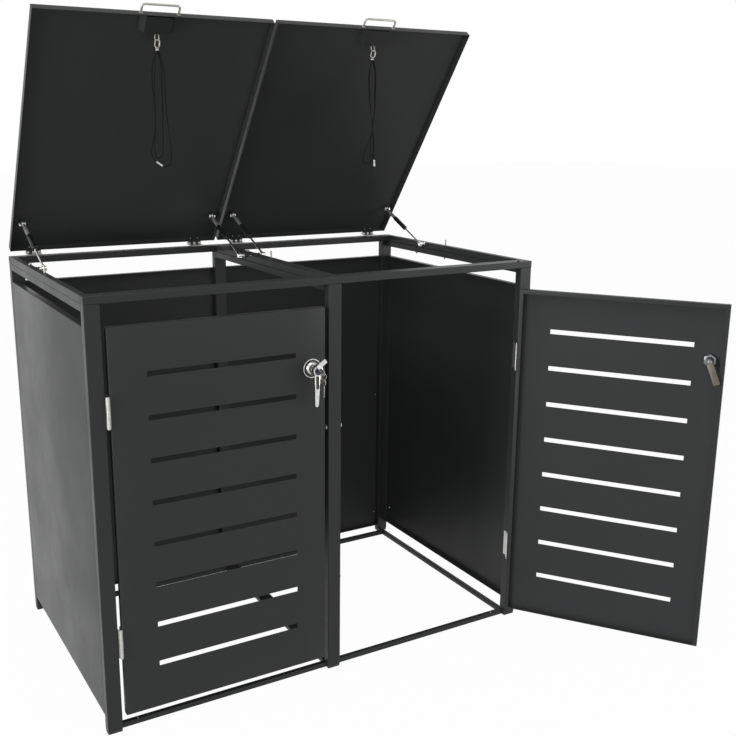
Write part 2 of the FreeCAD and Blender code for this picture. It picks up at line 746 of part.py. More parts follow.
def make_lid_hinges():
    """Leaves on the rear rail, leaves on the closed right lid, and pins."""
    rail_leaves, lid_leaves, pins = [], [], []
    axis = V(1, 0, 0)
    for x in lid_hinge_places():
        x0, x1 = x - lid_hinge_width / 2, x + lid_hinge_width / 2
        start = V(x0, lid_axis_y, lid_axis_z)
        rail_plate = box(x0, x1, half_depth - hinge_leaf_depth, lid_axis_y, frame_height,
                         frame_height + hinge_leaf)
        lid_plate = box(x0, x1, lid_rear, lid_rear + hinge_leaf, lid_under, lid_top - 2)
        lugs = []
        for low, high in knuckle_spans(lid_hinge_width, lid_knuckle_count)[1::2]:
            lugs.append(box(x0 + low, x0 + high, lid_rear, lid_axis_y, lid_axis_z - hinge_leaf / 2,
                            lid_axis_z + hinge_leaf / 2))
        rail_leaves.append(hinge_leaf_solid(rail_plate, start, axis, lid_hinge_width, lid_knuckle_count, 0))
        lid_leaves.append(hinge_leaf_solid(lid_plate.fuse(lugs), start, axis, lid_hinge_width, lid_knuckle_count, 1))
        pins.append(hinge_pin_solid(start, axis, lid_hinge_width))
    return rail_leaves, lid_leaves, pins


def closed_lid():
    """The right lid where it is when closed: a pan with its open side down."""
    return pan(V(lid_inner_x, lid_front, lid_under), V(lid_outer_x, lid_rear, lid_top), V(0, 0, -1), lid_sheet)


def lid_handle():
    """The wire bow on the front flange of the closed right lid."""
    z = lid_under + lid_flange / 2
    y0, y1 = lid_front, lid_front - handle_reach + handle_wire
    x0, x1 = lid_middle_x - handle_span / 2, lid_middle_x + handle_span / 2
    bend = handle_bend
    slant = bend * (1 - math.sqrt(0.5))
    path = [
        Part.LineSegment(V(x0, y0, z), V(x0, y1 + bend, z)).toShape(),
        Part.Arc(V(x0, y1 + bend, z), V(x0 + slant, y1 + slant, z), V(x0 + bend, y1, z)).toShape(),
        Part.LineSegment(V(x0 + bend, y1, z), V(x1 - bend, y1, z)).toShape(),
        Part.Arc(V(x1 - bend, y1, z), V(x1 - slant, y1 + slant, z), V(x1, y1 + bend, z)).toShape(),
        Part.LineSegment(V(x1, y1 + bend, z), V(x1, y0, z)).toShape(),
    ]
    return wire_bar(path, V(x0, y0, z), V(0, -1, 0), handle_wire)


def channel_profile(x0, x1, z0, z1, flank, y):
    """The outline of the channel across the lid, narrower at its bottom."""
    return Part.Face(Part.makePolygon([V(x0, y, z1), V(x1, y, z1), V(x1 - flank, y, z0),
                                       V(x0 + flank, y, z0), V(x0, y, z1)]))


def make_handle_bracket():
    """The folded channel behind the handle, under the closed right lid, with the hook's lug."""
    sheet = lid_sheet
    x0, x1 = lid_middle_x - channel_width / 2, lid_middle_x + channel_width / 2
    y0 = lid_front + channel_start
    z0, z1 = lid_inside - channel_depth, lid_inside
    shell = channel_profile(x0, x1, z0, z1, channel_flank, y0).extrude(V(0, channel_length, 0))
    inner = channel_profile(x0 + 2 * sheet, x1 - 2 * sheet, z0 + sheet, z1 + sheet, channel_flank, y0 - 1)
    bracket = shell.cut(inner.extrude(V(0, channel_length + 1 - sheet, 0)))
    x = lid_middle_x
    y1 = y0 + channel_length
    lug = box(x - lug_thickness / 2, x + lug_thickness / 2, y1, y1 + lug_length, z0, z0 + lug_length)
    hole = lug_hole_centre()
    lug = lug.cut(rod(hole - V(lug_thickness, 0, 0), hole + V(lug_thickness, 0, 0), lug_hole))
    return bracket.fuse(lug)


def lug_hole_centre():
    """Middle of the lug's hole on the closed right lid."""
    y1 = lid_front + channel_start + channel_length
    z0 = lid_inside - channel_depth
    return V(lid_middle_x, y1 + lug_length / 2, z0 + lug_length / 2)


def opened(point_or_shape):
    """A point or shape of the closed lids, turned to where it is when they are open."""
    base, axis = V(0, lid_axis_y, lid_axis_z), V(-1, 0, 0)
    if isinstance(point_or_shape, FreeCAD.Vector):
        return base + FreeCAD.Rotation(axis, lid_open_angle).multVec(point_or_shape - base)
    return turned(point_or_shape, base, axis, lid_open_angle)


def strut_sides():
    """Place along X of each strut of the right lid, and the side that its brackets stand on."""
    return ((strut_inner_x, -1), (strut_outer_x, 1))


def strut_upper_closed():
    """Middle of the upper studs' height and depth on the closed lids."""
    return V(0, lid_rear - strut_lid_place, lid_inside - strut_lid_offset)


def strut_upper():
    """Middle of the upper studs on the open lids, at X = 0."""
    return opened(strut_upper_closed())


def strut_lower():
    """Middle of the lower studs, at X = 0."""
    return V(0, strut_low_y, strut_low_z)


def strut_travel():
    """Length of the strut when open and closed, and its turn against the lid, in degrees."""
    lower = strut_lower()
    up_open, up_closed = strut_upper() - lower, strut_upper_closed() - lower
    turn_open = math.degrees(math.atan2(up_open.z, up_open.y))
    turn_closed = math.degrees(math.atan2(up_closed.z, up_closed.y))
    return up_open.Length, up_closed.Length, lid_open_angle + turn_open - turn_closed


def lid_strut_bracket(x, side):
    """A bracket on the underside of the closed right lid, with the stud that a strut turns on."""
    upper = strut_upper_closed() + V(x, 0, 0)
    half = strut_bracket_length / 2
    ear_x = x + side * (strut_eye_width / 2 + fit_gap)
    ear = box(ear_x, ear_x + side * strut_bracket, upper.y - half / 2, upper.y + half / 2,
              upper.z - strut_eye_radius, lid_inside)
    plate = box(ear_x, ear_x + side * strut_bracket_reach, upper.y - half, upper.y + half,
                lid_inside - strut_bracket, lid_inside)
    head_x = x - side * (strut_eye_width / 2 + fit_gap)
    stud = rod(V(ear_x, upper.y, upper.z), V(head_x, upper.y, upper.z), strut_stud)
    head = rod(V(head_x, upper.y, upper.z), V(head_x - side * strut_bracket, upper.y, upper.z),
               strut_stud_head)
    nut_x = ear_x + side * strut_bracket
    nut = rod(V(nut_x, upper.y, upper.z), V(nut_x + side * strut_nut_height, upper.y, upper.z), strut_nut)
    return ear.fuse([plate, stud, head, nut]).removeSplitter()


def rail_strut_bracket(x, side):
    """A plate on a rail with the stud that holds the lower end of a strut."""
    lower = strut_lower() + V(x, 0, 0)
    rail_x = x + side * strut_from_rail
    half = strut_bracket_length / 2
    plate = box(rail_x, rail_x - side * strut_bracket, lower.y - half, lower.y + half,
                lower.z - strut_eye_radius, frame_height)
    stud_end = x + side * (strut_eye_width / 2 + strut_open_gap)
    stud = rod(V(rail_x, lower.y, lower.z), V(stud_end, lower.y, lower.z), strut_stud)
    nut = rod(V(rail_x, lower.y, lower.z),
              V(rail_x - side * (strut_bracket + strut_nut_height), lower.y, lower.z), strut_nut)
    return plate.fuse([stud, nut]).removeSplitter()


def strut_tube(x):
    """The upper half of a strut: eye, collar and sleeve, bored for the rod and its piston."""
    upper = strut_upper() + V(x, 0, 0)
    line = strut_lower() + V(x, 0, 0) - upper
    line.normalize()
    collar = rod(upper + line * (strut_eye_radius - 2), upper + line * strut_collar_end, strut_collar_radius)
    sleeve = rod(upper + line * strut_collar_end, upper + line * strut_sleeve_end, strut_sleeve_radius)
    eye = Part.makeCylinder(strut_eye_radius, strut_eye_width, upper - V(strut_eye_width / 2, 0, 0), V(1, 0, 0))
    body = eye.fuse([collar, sleeve]).removeSplitter()
    cut = [
        Part.makeCylinder(strut_stud + hinge_running, strut_eye_width + 2,
                          upper - V(strut_eye_width / 2 + 1, 0, 0), V(1, 0, 0)),
        rod(upper + line * strut_bore_start, upper + line * (strut_sleeve_end - strut_gland), strut_bore),
        rod(upper + line * strut_bore_start, upper + line * (strut_sleeve_end + 1),
            strut_rod_radius + hinge_running),
    ]
    return body.cut(cut)


def strut_rod(x):
    """The lower half of a strut: piston, rod and the socket beside the lower stud."""
    upper = strut_upper() + V(x, 0, 0)
    lower = strut_lower() + V(x, 0, 0)
    line = lower - upper
    line.normalize()
    piston = rod(upper + line * strut_piston_start, upper + line * (strut_piston_start + strut_piston),
                 strut_bore - hinge_running)
    bar = rod(upper + line * strut_piston_start, lower - line * (strut_eye_radius - 2), strut_rod_radius)
    socket = Part.makeCylinder(strut_eye_radius, strut_eye_width, lower - V(strut_eye_width / 2, 0, 0),
                               V(1, 0, 0))
    return bar.fuse([piston, socket]).removeSplitter()


def make_lids():
    """Both lids with all that they carry, swung open, and the struts below them."""
    rail_leaves, lid_leaves, pins = make_lid_hinges()
    brackets, rail_brackets = [], []
    for x, side in strut_sides():
        brackets.append(lid_strut_bracket(x, side))
        rail_brackets.append(rail_strut_bracket(x, side))
    right = {
        "lid_panel_right": closed_lid(),
        "lid_handle_right": lid_handle(),
        "handle_bracket_right": make_handle_bracket(),
        "lid_hinge_leaves_right": group(lid_leaves),
        "strut_lid_brackets_right": group(brackets),
    }
    nodes = {
        "lid_hinge_rail_leaves": group(both_sides(rail_leaves)),
        "strut_rail_brackets": group(both_sides(rail_brackets)),
    }
    for name, shape in right.items():
        shape = opened(shape)
        nodes[name] = shape
        nodes[name.replace("right", "left")] = mirrored(shape)
    for name, sign in (("right", 1), ("left", -1)):
        places = [sign * x for x, side in strut_sides()]
        nodes["strut_tubes_" + name] = group([strut_tube(x) for x in places])
        nodes["strut_rods_" + name] = group([strut_rod(x) for x in places])
    return nodes, both_sides(pins)


def make_bumpers():
    """Rubber bumpers on the front rail, two under the front flange of each closed lid."""
    y = lid_front + lid_sheet / 2
    bumpers = []
    for x in (bumper_from_side, half_width - bumper_from_side):
        bumpers.append(rod(V(x, y, frame_height), V(x, y, lid_under), bumper_radius))
    return {"lid_bumpers": group(both_sides(bumpers))}


def snap_hook(x):
    """A snap hook that hangs in a lug, and the barrel below it that holds the cord."""
    top = opened(lug_hole_centre())
    half = hook_width / 2 - hook_wire
    top_z = top.z - half
    low_z = top.z - hook_length + half + hook_wire
    y = top.y
    centre = V(x, y, 0)
    path = [
        Part.Arc(centre + V(-half, 0, top_z), centre + V(0, 0, top.z), centre + V(half, 0, top_z)).toShape(),
        Part.LineSegment(centre + V(half, 0, top_z), centre + V(half, 0, low_z)).toShape(),
        Part.Arc(centre + V(half, 0, low_z), centre + V(0, 0, low_z - half),
                 centre + V(-half, 0, low_z)).toShape(),
        Part.LineSegment(centre + V(-half, 0, low_z), centre + V(-half, 0, top_z)).toShape(),
    ]
    loop = wire_bar(path, centre + V(-half, 0, top_z), V(0, 0, 1), hook_wire)
    barrel_top = low_z - half
    barrel = rod(centre + V(0, 0, barrel_top), centre + V(0, 0, cord_exit(x).z), hook_barrel_radius)
    return loop.fuse(barrel)


def cord_exit(x):
    """Middle of the underside of a hook's barrel, where the cord comes out."""
    top = opened(lug_hole_centre())
    return V(x, top.y, top.z - hook_length - hook_barrel_length + hook_wire)


def cord_route(x, points):
    """The corners of a cord laid double, out of the barrel, twice round and back into it."""
    start = cord_exit(x)
    route = [start + V(-cord_strand, cord_strand, 0)]
    for point in points:
        route.append(start + V(*point))
    route.append(start + V(cord_strand, cord_strand, 0))
    return route


def corner_cut(before, corner, after):
    """Radius of the arc at a corner of a route, and how far it starts from the corner."""
    one, two = before - corner, after - corner
    turn = math.pi - one.getAngle(two)
    start = 0.45 * min(one.Length, two.Length)
    return start / math.tan(turn / 2), start


def cord_solid(route, name):
    """A round cord along straight runs joined by arcs that touch them."""
    edges = []
    radii = []
    last = route[0]
    for k in range(1, len(route) - 1):
        corner = route[k]
        radius, start = corner_cut(route[k - 1], corner, route[k + 1])
        radii.append(round(radius, 1))
        back, ahead = route[k - 1] - corner, route[k + 1] - corner
        back.normalize()
        ahead.normalize()
        begin, end = corner + back * start, corner + ahead * start
        inward = back + ahead
        inward.normalize()
        reach = math.hypot(radius, start) - radius
        edges.append(Part.LineSegment(last, begin).toShape())
        edges.append(Part.Arc(begin, corner + inward * reach, end).toShape())
        last = end
    edges.append(Part.LineSegment(last, route[-1]).toShape())
    direction = route[1] - route[0]
    solid = wire_bar(edges, route[0], direction, cord_radius)
    length = sum(edge.Length for edge in edges)
    share = solid.Volume / (math.pi * cord_radius ** 2 * length)
    print("%s: length %.1f, volume ratio %.4f, radii %s" % (name, length, share, radii))
    return solid


def ferrule(route, index):
    """A metal sleeve crimped round the cord at one run of its route."""
    start, end = route[index], route[index + 1]
    line = end - start
    line.normalize()
    middle = (start + end) / 2
    return rod(middle - line * (ferrule_length / 2), middle + line * (ferrule_length / 2), ferrule_radius)


def make_lanyards():
    """The snap hooks with their cord loops and ferrules."""
    nodes = {}
    for name, x, points, index in (("left", -lid_middle_x, cord_points_left, ferrule_run_left),
                                   ("right", lid_middle_x, cord_points_right, ferrule_run_right)):
        route = cord_route(x, points)
        cord = cord_solid(route, "lanyard_cord_" + name)
        nodes["snap_hook_" + name] = snap_hook(x).cut(cord)
        nodes["lanyard_cord_" + name] = cord
        nodes["lanyard_ferrule_" + name] = ferrule(route, index)
    return nodes


def make_nodes():
    """Every node of the store by name."""
    nodes = {}
    for make in (make_posts, make_foot_caps, make_top_rails, make_end_plugs, make_second_rails,
                 make_bottom_rails, make_panels, make_bolts, make_bumpers, make_lanyards):
        nodes.update(make())
    nodes = bolted(nodes)
    door_nodes, door_pins = make_doors()
    lid_nodes, lid_pins = make_lids()
    nodes.update(door_nodes)
    nodes.update(lid_nodes)
    nodes["hinge_pins"] = group(door_pins + lid_pins)
    return nodes


def main():
    """Builds every node and writes it to its own file."""
    os.makedirs("parts", exist_ok=True)
    nodes = make_nodes()
    for name, shape in sorted(nodes.items()):
        if not shape.isValid():
            print("not valid:", name)
        shape.exportStep("parts/%s.step" % name)
    print("nodes:", len(nodes))
    print("strut open, closed, turn:", strut_travel())


if __name__ == "__main__":
    main()
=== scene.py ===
"""Wheelie bin store for two bins: its looks, its stage and its camera, laid out as an add-on.

Metres. +X to the right, +Y to the rear, +Z up. The origin is on the ground under the middle.
"""

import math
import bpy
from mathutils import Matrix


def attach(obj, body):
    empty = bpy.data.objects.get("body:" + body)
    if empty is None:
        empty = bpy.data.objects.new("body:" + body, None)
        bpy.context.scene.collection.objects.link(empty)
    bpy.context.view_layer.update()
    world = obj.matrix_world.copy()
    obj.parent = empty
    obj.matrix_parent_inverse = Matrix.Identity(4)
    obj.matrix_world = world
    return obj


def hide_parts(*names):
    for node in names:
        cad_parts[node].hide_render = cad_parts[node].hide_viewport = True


bl_info = {
    "name": "Wheelie bin store",
    "version": (1, 0, 0),
    "blender": (4, 5, 0),
    "location": "View3D > Sidebar > Bin store",
    "description": "Sheet panels, lids, locks, struts and cords of a store for two wheelie bins",
    "category": "Object",
}

from typing import NamedTuple

import bmesh
import bpy
from bpy.props import FloatProperty, FloatVectorProperty, PointerProperty
from mathutils import Matrix, Vector

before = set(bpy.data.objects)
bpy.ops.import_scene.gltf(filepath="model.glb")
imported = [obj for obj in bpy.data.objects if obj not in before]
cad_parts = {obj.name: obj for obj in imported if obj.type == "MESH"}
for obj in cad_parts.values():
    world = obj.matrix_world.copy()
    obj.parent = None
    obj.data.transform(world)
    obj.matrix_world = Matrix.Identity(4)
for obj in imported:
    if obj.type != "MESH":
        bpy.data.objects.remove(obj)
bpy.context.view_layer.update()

# Sizes and places of the pieces, on the closed right side where a piece has two
HALF_WIDTH = 0.680
HALF_DEPTH = 0.4075
RAIL_TOP = 1.168
POST_INNER_X = 0.640
POST_INNER_Y = 0.3825
MIDDLE_POST_HALF = 0.020
WALL_DEPTH = 0.020
PANEL_TOP = 1.092
DOOR_AXIS = Vector((0.6345, -0.4115, 0.0))
DOOR_TURN = math.radians(125.8)
DOOR_LOW = Vector((0.033, -0.4105, 0.044))
DOOR_HIGH = Vector((0.629, -0.3905, 1.089))
DOOR_LIP = 0.013
DOOR_LOW_LIP = 0.004
FIRST_SLOT_Z = 0.171
SLOT_COUNT = 8
SLOT_SHIFT = -0.0035
SIDE_WALL_BOTTOM = 0.047
REAR_WALL_BOTTOM = 0.025
LID_AXIS = Vector((0.0, 0.427, 1.1735))
LID_TURN = math.radians(53.45)
LID_LOW = Vector((0.005, -0.4015, 1.1715))
LID_HIGH = Vector((0.672, 0.4175, 1.1915))
LID_MIDDLE_X = 0.339
LID_HINGE_X = (0.076, 0.602)
LID_NUT_SHIFT = 0.012
LID_NUT_RISE = 0.011
BUMPER_X = (-0.634, -0.046, 0.046, 0.634)
BUMPER_Y = -0.4009
BOW_RISE = 0.010
BOW_REACH = 0.026
BOW_HALF = 0.052
BOW_BEND = 0.008
LOCK = Vector((0.075, 0.0, 0.925))
LOCK_TILT = math.radians(22.0)
DOOR_FACE_Y = -0.4105
HEAD_FRONT_Y = -0.4515
CAM_Y = -0.3815
CAM_THICK = 0.003
CAM_HALF = 0.009
CAM_REACH = 0.0690
GRIP_HALF = 0.0056
GRIP_TOP = 0.0075
GRIP_END = 0.1005
GRIP_FRONT = 0.004
GRIP_BACK = 0.012
GRIP_LENGTH = 0.093
GRIP_TAPER = 0.55
GRIP_LEAN = 0.0022
FLAP_HALF = 0.0066
KEY_HOLE = 0.029
RING_REACH = 0.0092
RING_RADIUS = 0.008
FLAP_TURN = math.radians(36.0)
STRUT_TOP = Vector((0.0, 0.3591006, 1.2669406))
STRUT_FOOT = Vector((0.0, 0.131, 1.163))
STRUT_X = (0.040, 0.640)
STRUT_EAR = 0.0067
STRUT_FROM_RAIL = 0.020
PLATE_THICK = 0.002
PLATE_HALF = 0.013
PLATE_REACH = 0.016
EAR_HALF = 0.0065
EAR_DROP = 0.007
STRUT_EYE = ((0, -0.0065), (0.0062, -0.0065), (0.007, -0.0057),
             (0.007, 0.0057), (0.0062, 0.0065), (0, 0.0065))
LID_INSIDE = 1.1903
LID_STUD_Y = LID_HIGH.y - 0.106
LID_STUD_Z = LID_INSIDE - 0.0157
CORD_EXIT_Y = -0.0272958
HOOK_TOP_Z = 1.7952261
CORD_EXIT_Z = 1.7527261

# Points of each cord, laid double: across, rearward and down from the underside of the hook's barrel
CORD_LEFT = (
    (-0.0040, 0.0019, -0.0110), (-0.0130, 0.0022, -0.0280), (-0.0170, 0.0024, -0.0555),
    (-0.0165, 0.0022, -0.0945), (-0.0135, 0.0020, -0.1385), (-0.0125, 0.0020, -0.1835),
    (-0.0170, 0.0020, -0.2235), (-0.0250, 0.0018, -0.2540), (-0.0280, 0.0014, -0.2740),
    (-0.0180, 0.0008, -0.2900), (0.0060, -0.0006, -0.3070), (0.0220, -0.0010, -0.3055),
    (0.0285, -0.0014, -0.2855), (0.0285, -0.0018, -0.2555), (0.0240, -0.0019, -0.2180),
    (0.0200, -0.0019, -0.1725), (0.0175, -0.0019, -0.1265), (0.0180, -0.0019, -0.0830),
    (0.0165, -0.0019, -0.0465), (0.0110, -0.0019, -0.0225), (0.0058, -0.0019, -0.0090),
    (0.0032, -0.0019, 0.0022), (-0.0032, -0.0019, 0.0022), (-0.0050, -0.0019, -0.0095),
    (-0.0080, -0.0019, -0.0215), (-0.0090, -0.0019, -0.0425), (-0.0120, -0.0019, -0.0760),
    (-0.0130, -0.0019, -0.1205), (-0.0120, -0.0019, -0.1675), (-0.0135, -0.0019, -0.2115),
    (-0.0185, -0.0016, -0.2475), (-0.0185, -0.0010, -0.2730), (-0.0085, 0.0000, -0.2865),
    (0.0035, 0.0010, -0.2770), (0.0080, 0.0016, -0.2500), (0.0080, 0.0019, -0.2100),
    (0.0100, 0.0019, -0.1620), (0.0095, 0.0019, -0.1145), (0.0115, 0.0019, -0.0725),
    (0.0110, 0.0019, -0.0390), (0.0060, 0.0019, -0.0145),
)
CORD_RIGHT = (
    (-0.0035, 0.0019, -0.0125), (-0.0090, 0.0022, -0.0300), (-0.0110, 0.0026, -0.0590),
    (-0.0080, 0.0032, -0.0985), (-0.0020, 0.0042, -0.1410), (0.0050, 0.0052, -0.1785),
    (0.0075, 0.0053, -0.2115), (0.0135, 0.0050, -0.2430), (0.0125, 0.0058, -0.2730),
    (0.0025, 0.0054, -0.2965), (-0.0150, 0.0030, -0.3095), (-0.0290, 0.0014, -0.3010),
    (-0.0285, -0.0010, -0.2790), (-0.0185, -0.0028, -0.2540), (-0.0070, -0.0044, -0.2290),
    (0.0005, -0.0053, -0.2040), (0.0035, -0.0052, -0.1725), (0.0100, -0.0042, -0.1335),
    (0.0110, -0.0030, -0.0925), (0.0130, -0.0022, -0.0525), (0.0105, -0.0019, -0.0250),
    (0.0058, -0.0019, -0.0090), (0.0032, -0.0019, 0.0022), (-0.0032, -0.0019, 0.0022),
    (-0.0050, -0.0019, -0.0095), (-0.0080, -0.0019, -0.0200), (-0.0090, -0.0019, -0.0385),
    (-0.0110, -0.0019, -0.0605), (-0.0090, -0.0019, -0.1000), (-0.0055, -0.0018, -0.1400),
    (0.0000, -0.0018, -0.1770), (0.0015, -0.0018, -0.2080), (-0.0030, -0.0018, -0.2410),
    (-0.0045, -0.0016, -0.2745), (-0.0030, -0.0010, -0.3000), (-0.0005, 0.0000, -0.3185),
    (0.0125, 0.0014, -0.3180), (0.0115, 0.0018, -0.2935), (0.0075, 0.0018, -0.2670),
    (0.0095, 0.0018, -0.2385), (0.0040, 0.0018, -0.2070), (0.0090, 0.0018, -0.1725),
    (0.0115, 0.0018, -0.1335), (0.0110, 0.0018, -0.0920), (0.0125, 0.0018, -0.0540),
    (0.0110, 0.0019, -0.0265), (0.0055, 0.0019, -0.0115),
)
CORD_STRAND = 0.0019

# Each hook's side, place across, and its turn and lean in degrees
HOOKS = (("left", -LID_MIDDLE_X, -25.0, 5.0), ("right", LID_MIDDLE_X, -48.0, 13.0))

# Each cord's side, place across, points, the run that its sleeve sits on, and its length
CORDS = (("left", -LID_MIDDLE_X, CORD_LEFT, 10, 1.2369), ("right", LID_MIDDLE_X, CORD_RIGHT, 37, 1.3015))


class BinStoreSizes(bpy.types.PropertyGroup):
    """Sizes that a user may change."""
    sheet: FloatProperty(name="Sheet", description="Thickness of the folded sheet", default=0.0012,
                         unit="LENGTH")
    fold: FloatProperty(name="Fold", description="Outer radius of a fold in the sheet", default=0.0018,
                        unit="LENGTH")
    slot_length: FloatProperty(name="Slot length", description="Length of each slot in a door",
                               default=0.412, unit="LENGTH")
    slot_height: FloatProperty(name="Slot height", description="Height of each slot in a door",
                               default=0.014, unit="LENGTH")
    slot_pitch: FloatProperty(name="Slot pitch", description="Height from one slot to the next",
                              default=0.1134, unit="LENGTH")
    wire: FloatProperty(name="Lid handle wire", description="Radius of the lid handle's wire",
                        default=0.003, unit="LENGTH")
    cord: FloatProperty(name="Cord", description="Diameter of the cord loops", default=0.003,
                        unit="LENGTH")


class BinStoreFinish(bpy.types.PropertyGroup):
    """Colours and finishes that a user may change."""
    paint: FloatVectorProperty(name="Powder coat", description="Colour of the painted steel",
                               default=(0.034, 0.035, 0.036), subtype="COLOR", size=3)
    paint_roughness: FloatProperty(name="Powder coat roughness", description="Roughness of the paint",
                                   default=0.4, subtype="FACTOR")
    chrome: FloatVectorProperty(name="Chrome", description="Colour of the plated pieces",
                                default=(0.72, 0.72, 0.71), subtype="COLOR", size=3)
    zinc: FloatVectorProperty(name="Zinc", description="Colour of the zinc-plated pieces",
                              default=(0.60, 0.60, 0.58), subtype="COLOR", size=3)
    cord: FloatVectorProperty(name="Cord", description="Colour of the braided cord",
                              default=(0.008, 0.008, 0.009), subtype="COLOR", size=3)


class BinStoreStage(bpy.types.PropertyGroup):
    """Light levels of the stage."""
    sky: FloatProperty(name="Sky", description="Strength of the light from all round", default=0.45)
    key: FloatProperty(name="Key light", description="Power of the soft light at the left",
                       default=150.0, unit="POWER")
    top: FloatProperty(name="Top light", description="Power of the soft light overhead",
                       default=40.0, unit="POWER")
    fill: FloatProperty(name="Fill light", description="Power of the soft light at the front right",
                        default=18.0, unit="POWER")


def sizes():
    """The sizes in use."""
    return bpy.context.scene.bin_store_sizes


def colours():
    """The colours in use."""
    return bpy.context.scene.bin_store_finish


# Shader node groups

BRUSHING_STRETCH = (12.0, 12.0, 0.6)


def group_socket(tree, name, is_output, kind, default=None):
    """Adds a named input or output to a node group."""
    socket = tree.interface.new_socket(name=name, in_out="OUTPUT" if is_output else "INPUT",
                                       socket_type=kind)
    if default is not None:
        socket.default_value = default


def new_group(name, inputs, outputs):
    """An empty shader node group with its input and output nodes."""
    tree = bpy.data.node_groups.new(name, "ShaderNodeTree")
    for label, default in inputs:
        group_socket(tree, label, False, "NodeSocketFloat", default)
    for label in outputs:
        group_socket(tree, label, True, "NodeSocketFloat")
    return tree, tree.nodes.new("NodeGroupInput"), tree.nodes.new("NodeGroupOutput")


def object_place(tree):
    """Where a point of the surface lies on its object."""
    return tree.nodes.new("ShaderNodeTexCoord").outputs["Object"]


def larger(tree, one, other):
    """The larger of two values."""
    node = tree.nodes.new("ShaderNodeMath")
    node.operation = "MAXIMUM"
    tree.links.new(one, node.inputs[0])
    tree.links.new(other, node.inputs[1])
    return node.outputs["Value"]


def noise(tree, vector, detail, roughness):
    """A noise texture in a node tree."""
    node = tree.nodes.new("ShaderNodeTexNoise")
    node.inputs["Detail"].default_value = detail
    node.inputs["Roughness"].default_value = roughness
    tree.links.new(vector, node.inputs["Vector"])
    return node


def spread(tree, value, low, high):
    """A value from 0 to 1 spread between two sockets."""
    node = tree.nodes.new("ShaderNodeMapRange")
    node.clamp = True
    tree.links.new(value, node.inputs["Value"])
    tree.links.new(low, node.inputs["To Min"])
    tree.links.new(high, node.inputs["To Max"])
    return node.outputs["Result"]


def make_grain_group():
    """Fine pitting of a sprayed or moulded surface, as a height."""
    tree, enter, leave = new_group("Surface grain", (("Size", 900.0), ("Softness", 0.5)), ("Height",))
    fine = noise(tree, object_place(tree), 2.0, 0.5)
    tree.links.new(enter.outputs["Size"], fine.inputs["Scale"])
    tree.links.new(enter.outputs["Softness"], fine.inputs["Roughness"])
    tree.links.new(fine.outputs["Fac"], leave.inputs["Height"])
    return tree


def make_handling_group():
    """Slow change over a surface, where hands, rain and dust have been."""
    tree, enter, leave = new_group("Handling", (("Size", 4.0), ("Low", 0.0), ("High", 1.0)), ("Amount",))
    slow = noise(tree, object_place(tree), 5.0, 0.6)
    tree.links.new(enter.outputs["Size"], slow.inputs["Scale"])
    stretch = tree.nodes.new("ShaderNodeMapRange")
    stretch.inputs["From Min"].default_value = 0.35
    stretch.inputs["From Max"].default_value = 0.65
    tree.links.new(slow.outputs["Fac"], stretch.inputs["Value"])
    amount = spread(tree, stretch.outputs["Result"], enter.outputs["Low"], enter.outputs["High"])
    tree.links.new(amount, leave.inputs["Amount"])
    return tree


def make_brushing_group():
    """Fine lines along one way, left by drawing or brushing."""
    tree, enter, leave = new_group("Brushing", (("Size", 60.0), ("Low", 0.0), ("High", 1.0)),
                                   ("Height", "Amount"))
    stretch = tree.nodes.new("ShaderNodeMapping")
    stretch.inputs["Scale"].default_value = BRUSHING_STRETCH
    tree.links.new(object_place(tree), stretch.inputs["Vector"])
    lines = noise(tree, stretch.outputs["Vector"], 3.0, 0.6)
    tree.links.new(enter.outputs["Size"], lines.inputs["Scale"])
    amount = spread(tree, lines.outputs["Fac"], enter.outputs["Low"], enter.outputs["High"])
    tree.links.new(lines.outputs["Fac"], leave.inputs["Height"])
    tree.links.new(amount, leave.inputs["Amount"])
    return tree


def make_tint_group():
    """A colour that lightens or darkens a little over the surface."""
    tree = bpy.data.node_groups.new("Tint", "ShaderNodeTree")
    group_socket(tree, "Colour", False, "NodeSocketColor")
    group_socket(tree, "Size", False, "NodeSocketFloat", 3.0)
    group_socket(tree, "Darkest", False, "NodeSocketFloat", 0.9)
    group_socket(tree, "Lightest", False, "NodeSocketFloat", 1.1)
    group_socket(tree, "Colour", True, "NodeSocketColor")
    enter = tree.nodes.new("NodeGroupInput")
    leave = tree.nodes.new("NodeGroupOutput")
    slow = noise(tree, object_place(tree), 6.0, 0.65)
    tree.links.new(enter.outputs["Size"], slow.inputs["Scale"])
    level = spread(tree, slow.outputs["Fac"], enter.outputs["Darkest"], enter.outputs["Lightest"])
    scale = tree.nodes.new("ShaderNodeVectorMath")
    scale.operation = "SCALE"
    tree.links.new(enter.outputs["Colour"], scale.inputs["Vector"])
    tree.links.new(level, scale.inputs["Scale"])
    tree.links.new(scale.outputs["Vector"], leave.inputs["Colour"])
    return tree


GROUP_MAKERS = {
    "Surface grain": make_grain_group,
    "Handling": make_handling_group,
    "Brushing": make_brushing_group,
    "Tint": make_tint_group,
}


def place_group(tree, name, **values):
    """Puts a shared effect in a material, with this material's own values."""
    node = tree.nodes.new("ShaderNodeGroup")
    node.node_tree = bpy.data.node_groups.get(name) or GROUP_MAKERS[name]()
    for label, value in values.items():
        node.inputs[label].default_value = value
    return node


# Materials


def new_material(name, colour):
    """A material with a plain shader, for the finishes below to build on."""
    material = bpy.data.materials.new(name)
    material.use_nodes = True
    material.diffuse_color = (*colour, 1.0)
    tree = material.node_tree
    return material, tree, tree.nodes["Principled BSDF"]


def tinted(tree, shader, colour, size, darkest, lightest):
    """Gives the shader a base colour that changes a little over the surface."""
    tint = place_group(tree, "Tint", Size=size, Darkest=darkest, Lightest=lightest)
    tint.inputs["Colour"].default_value = (*colour, 1.0)
    tree.links.new(tint.outputs["Colour"], shader.inputs["Base Color"])


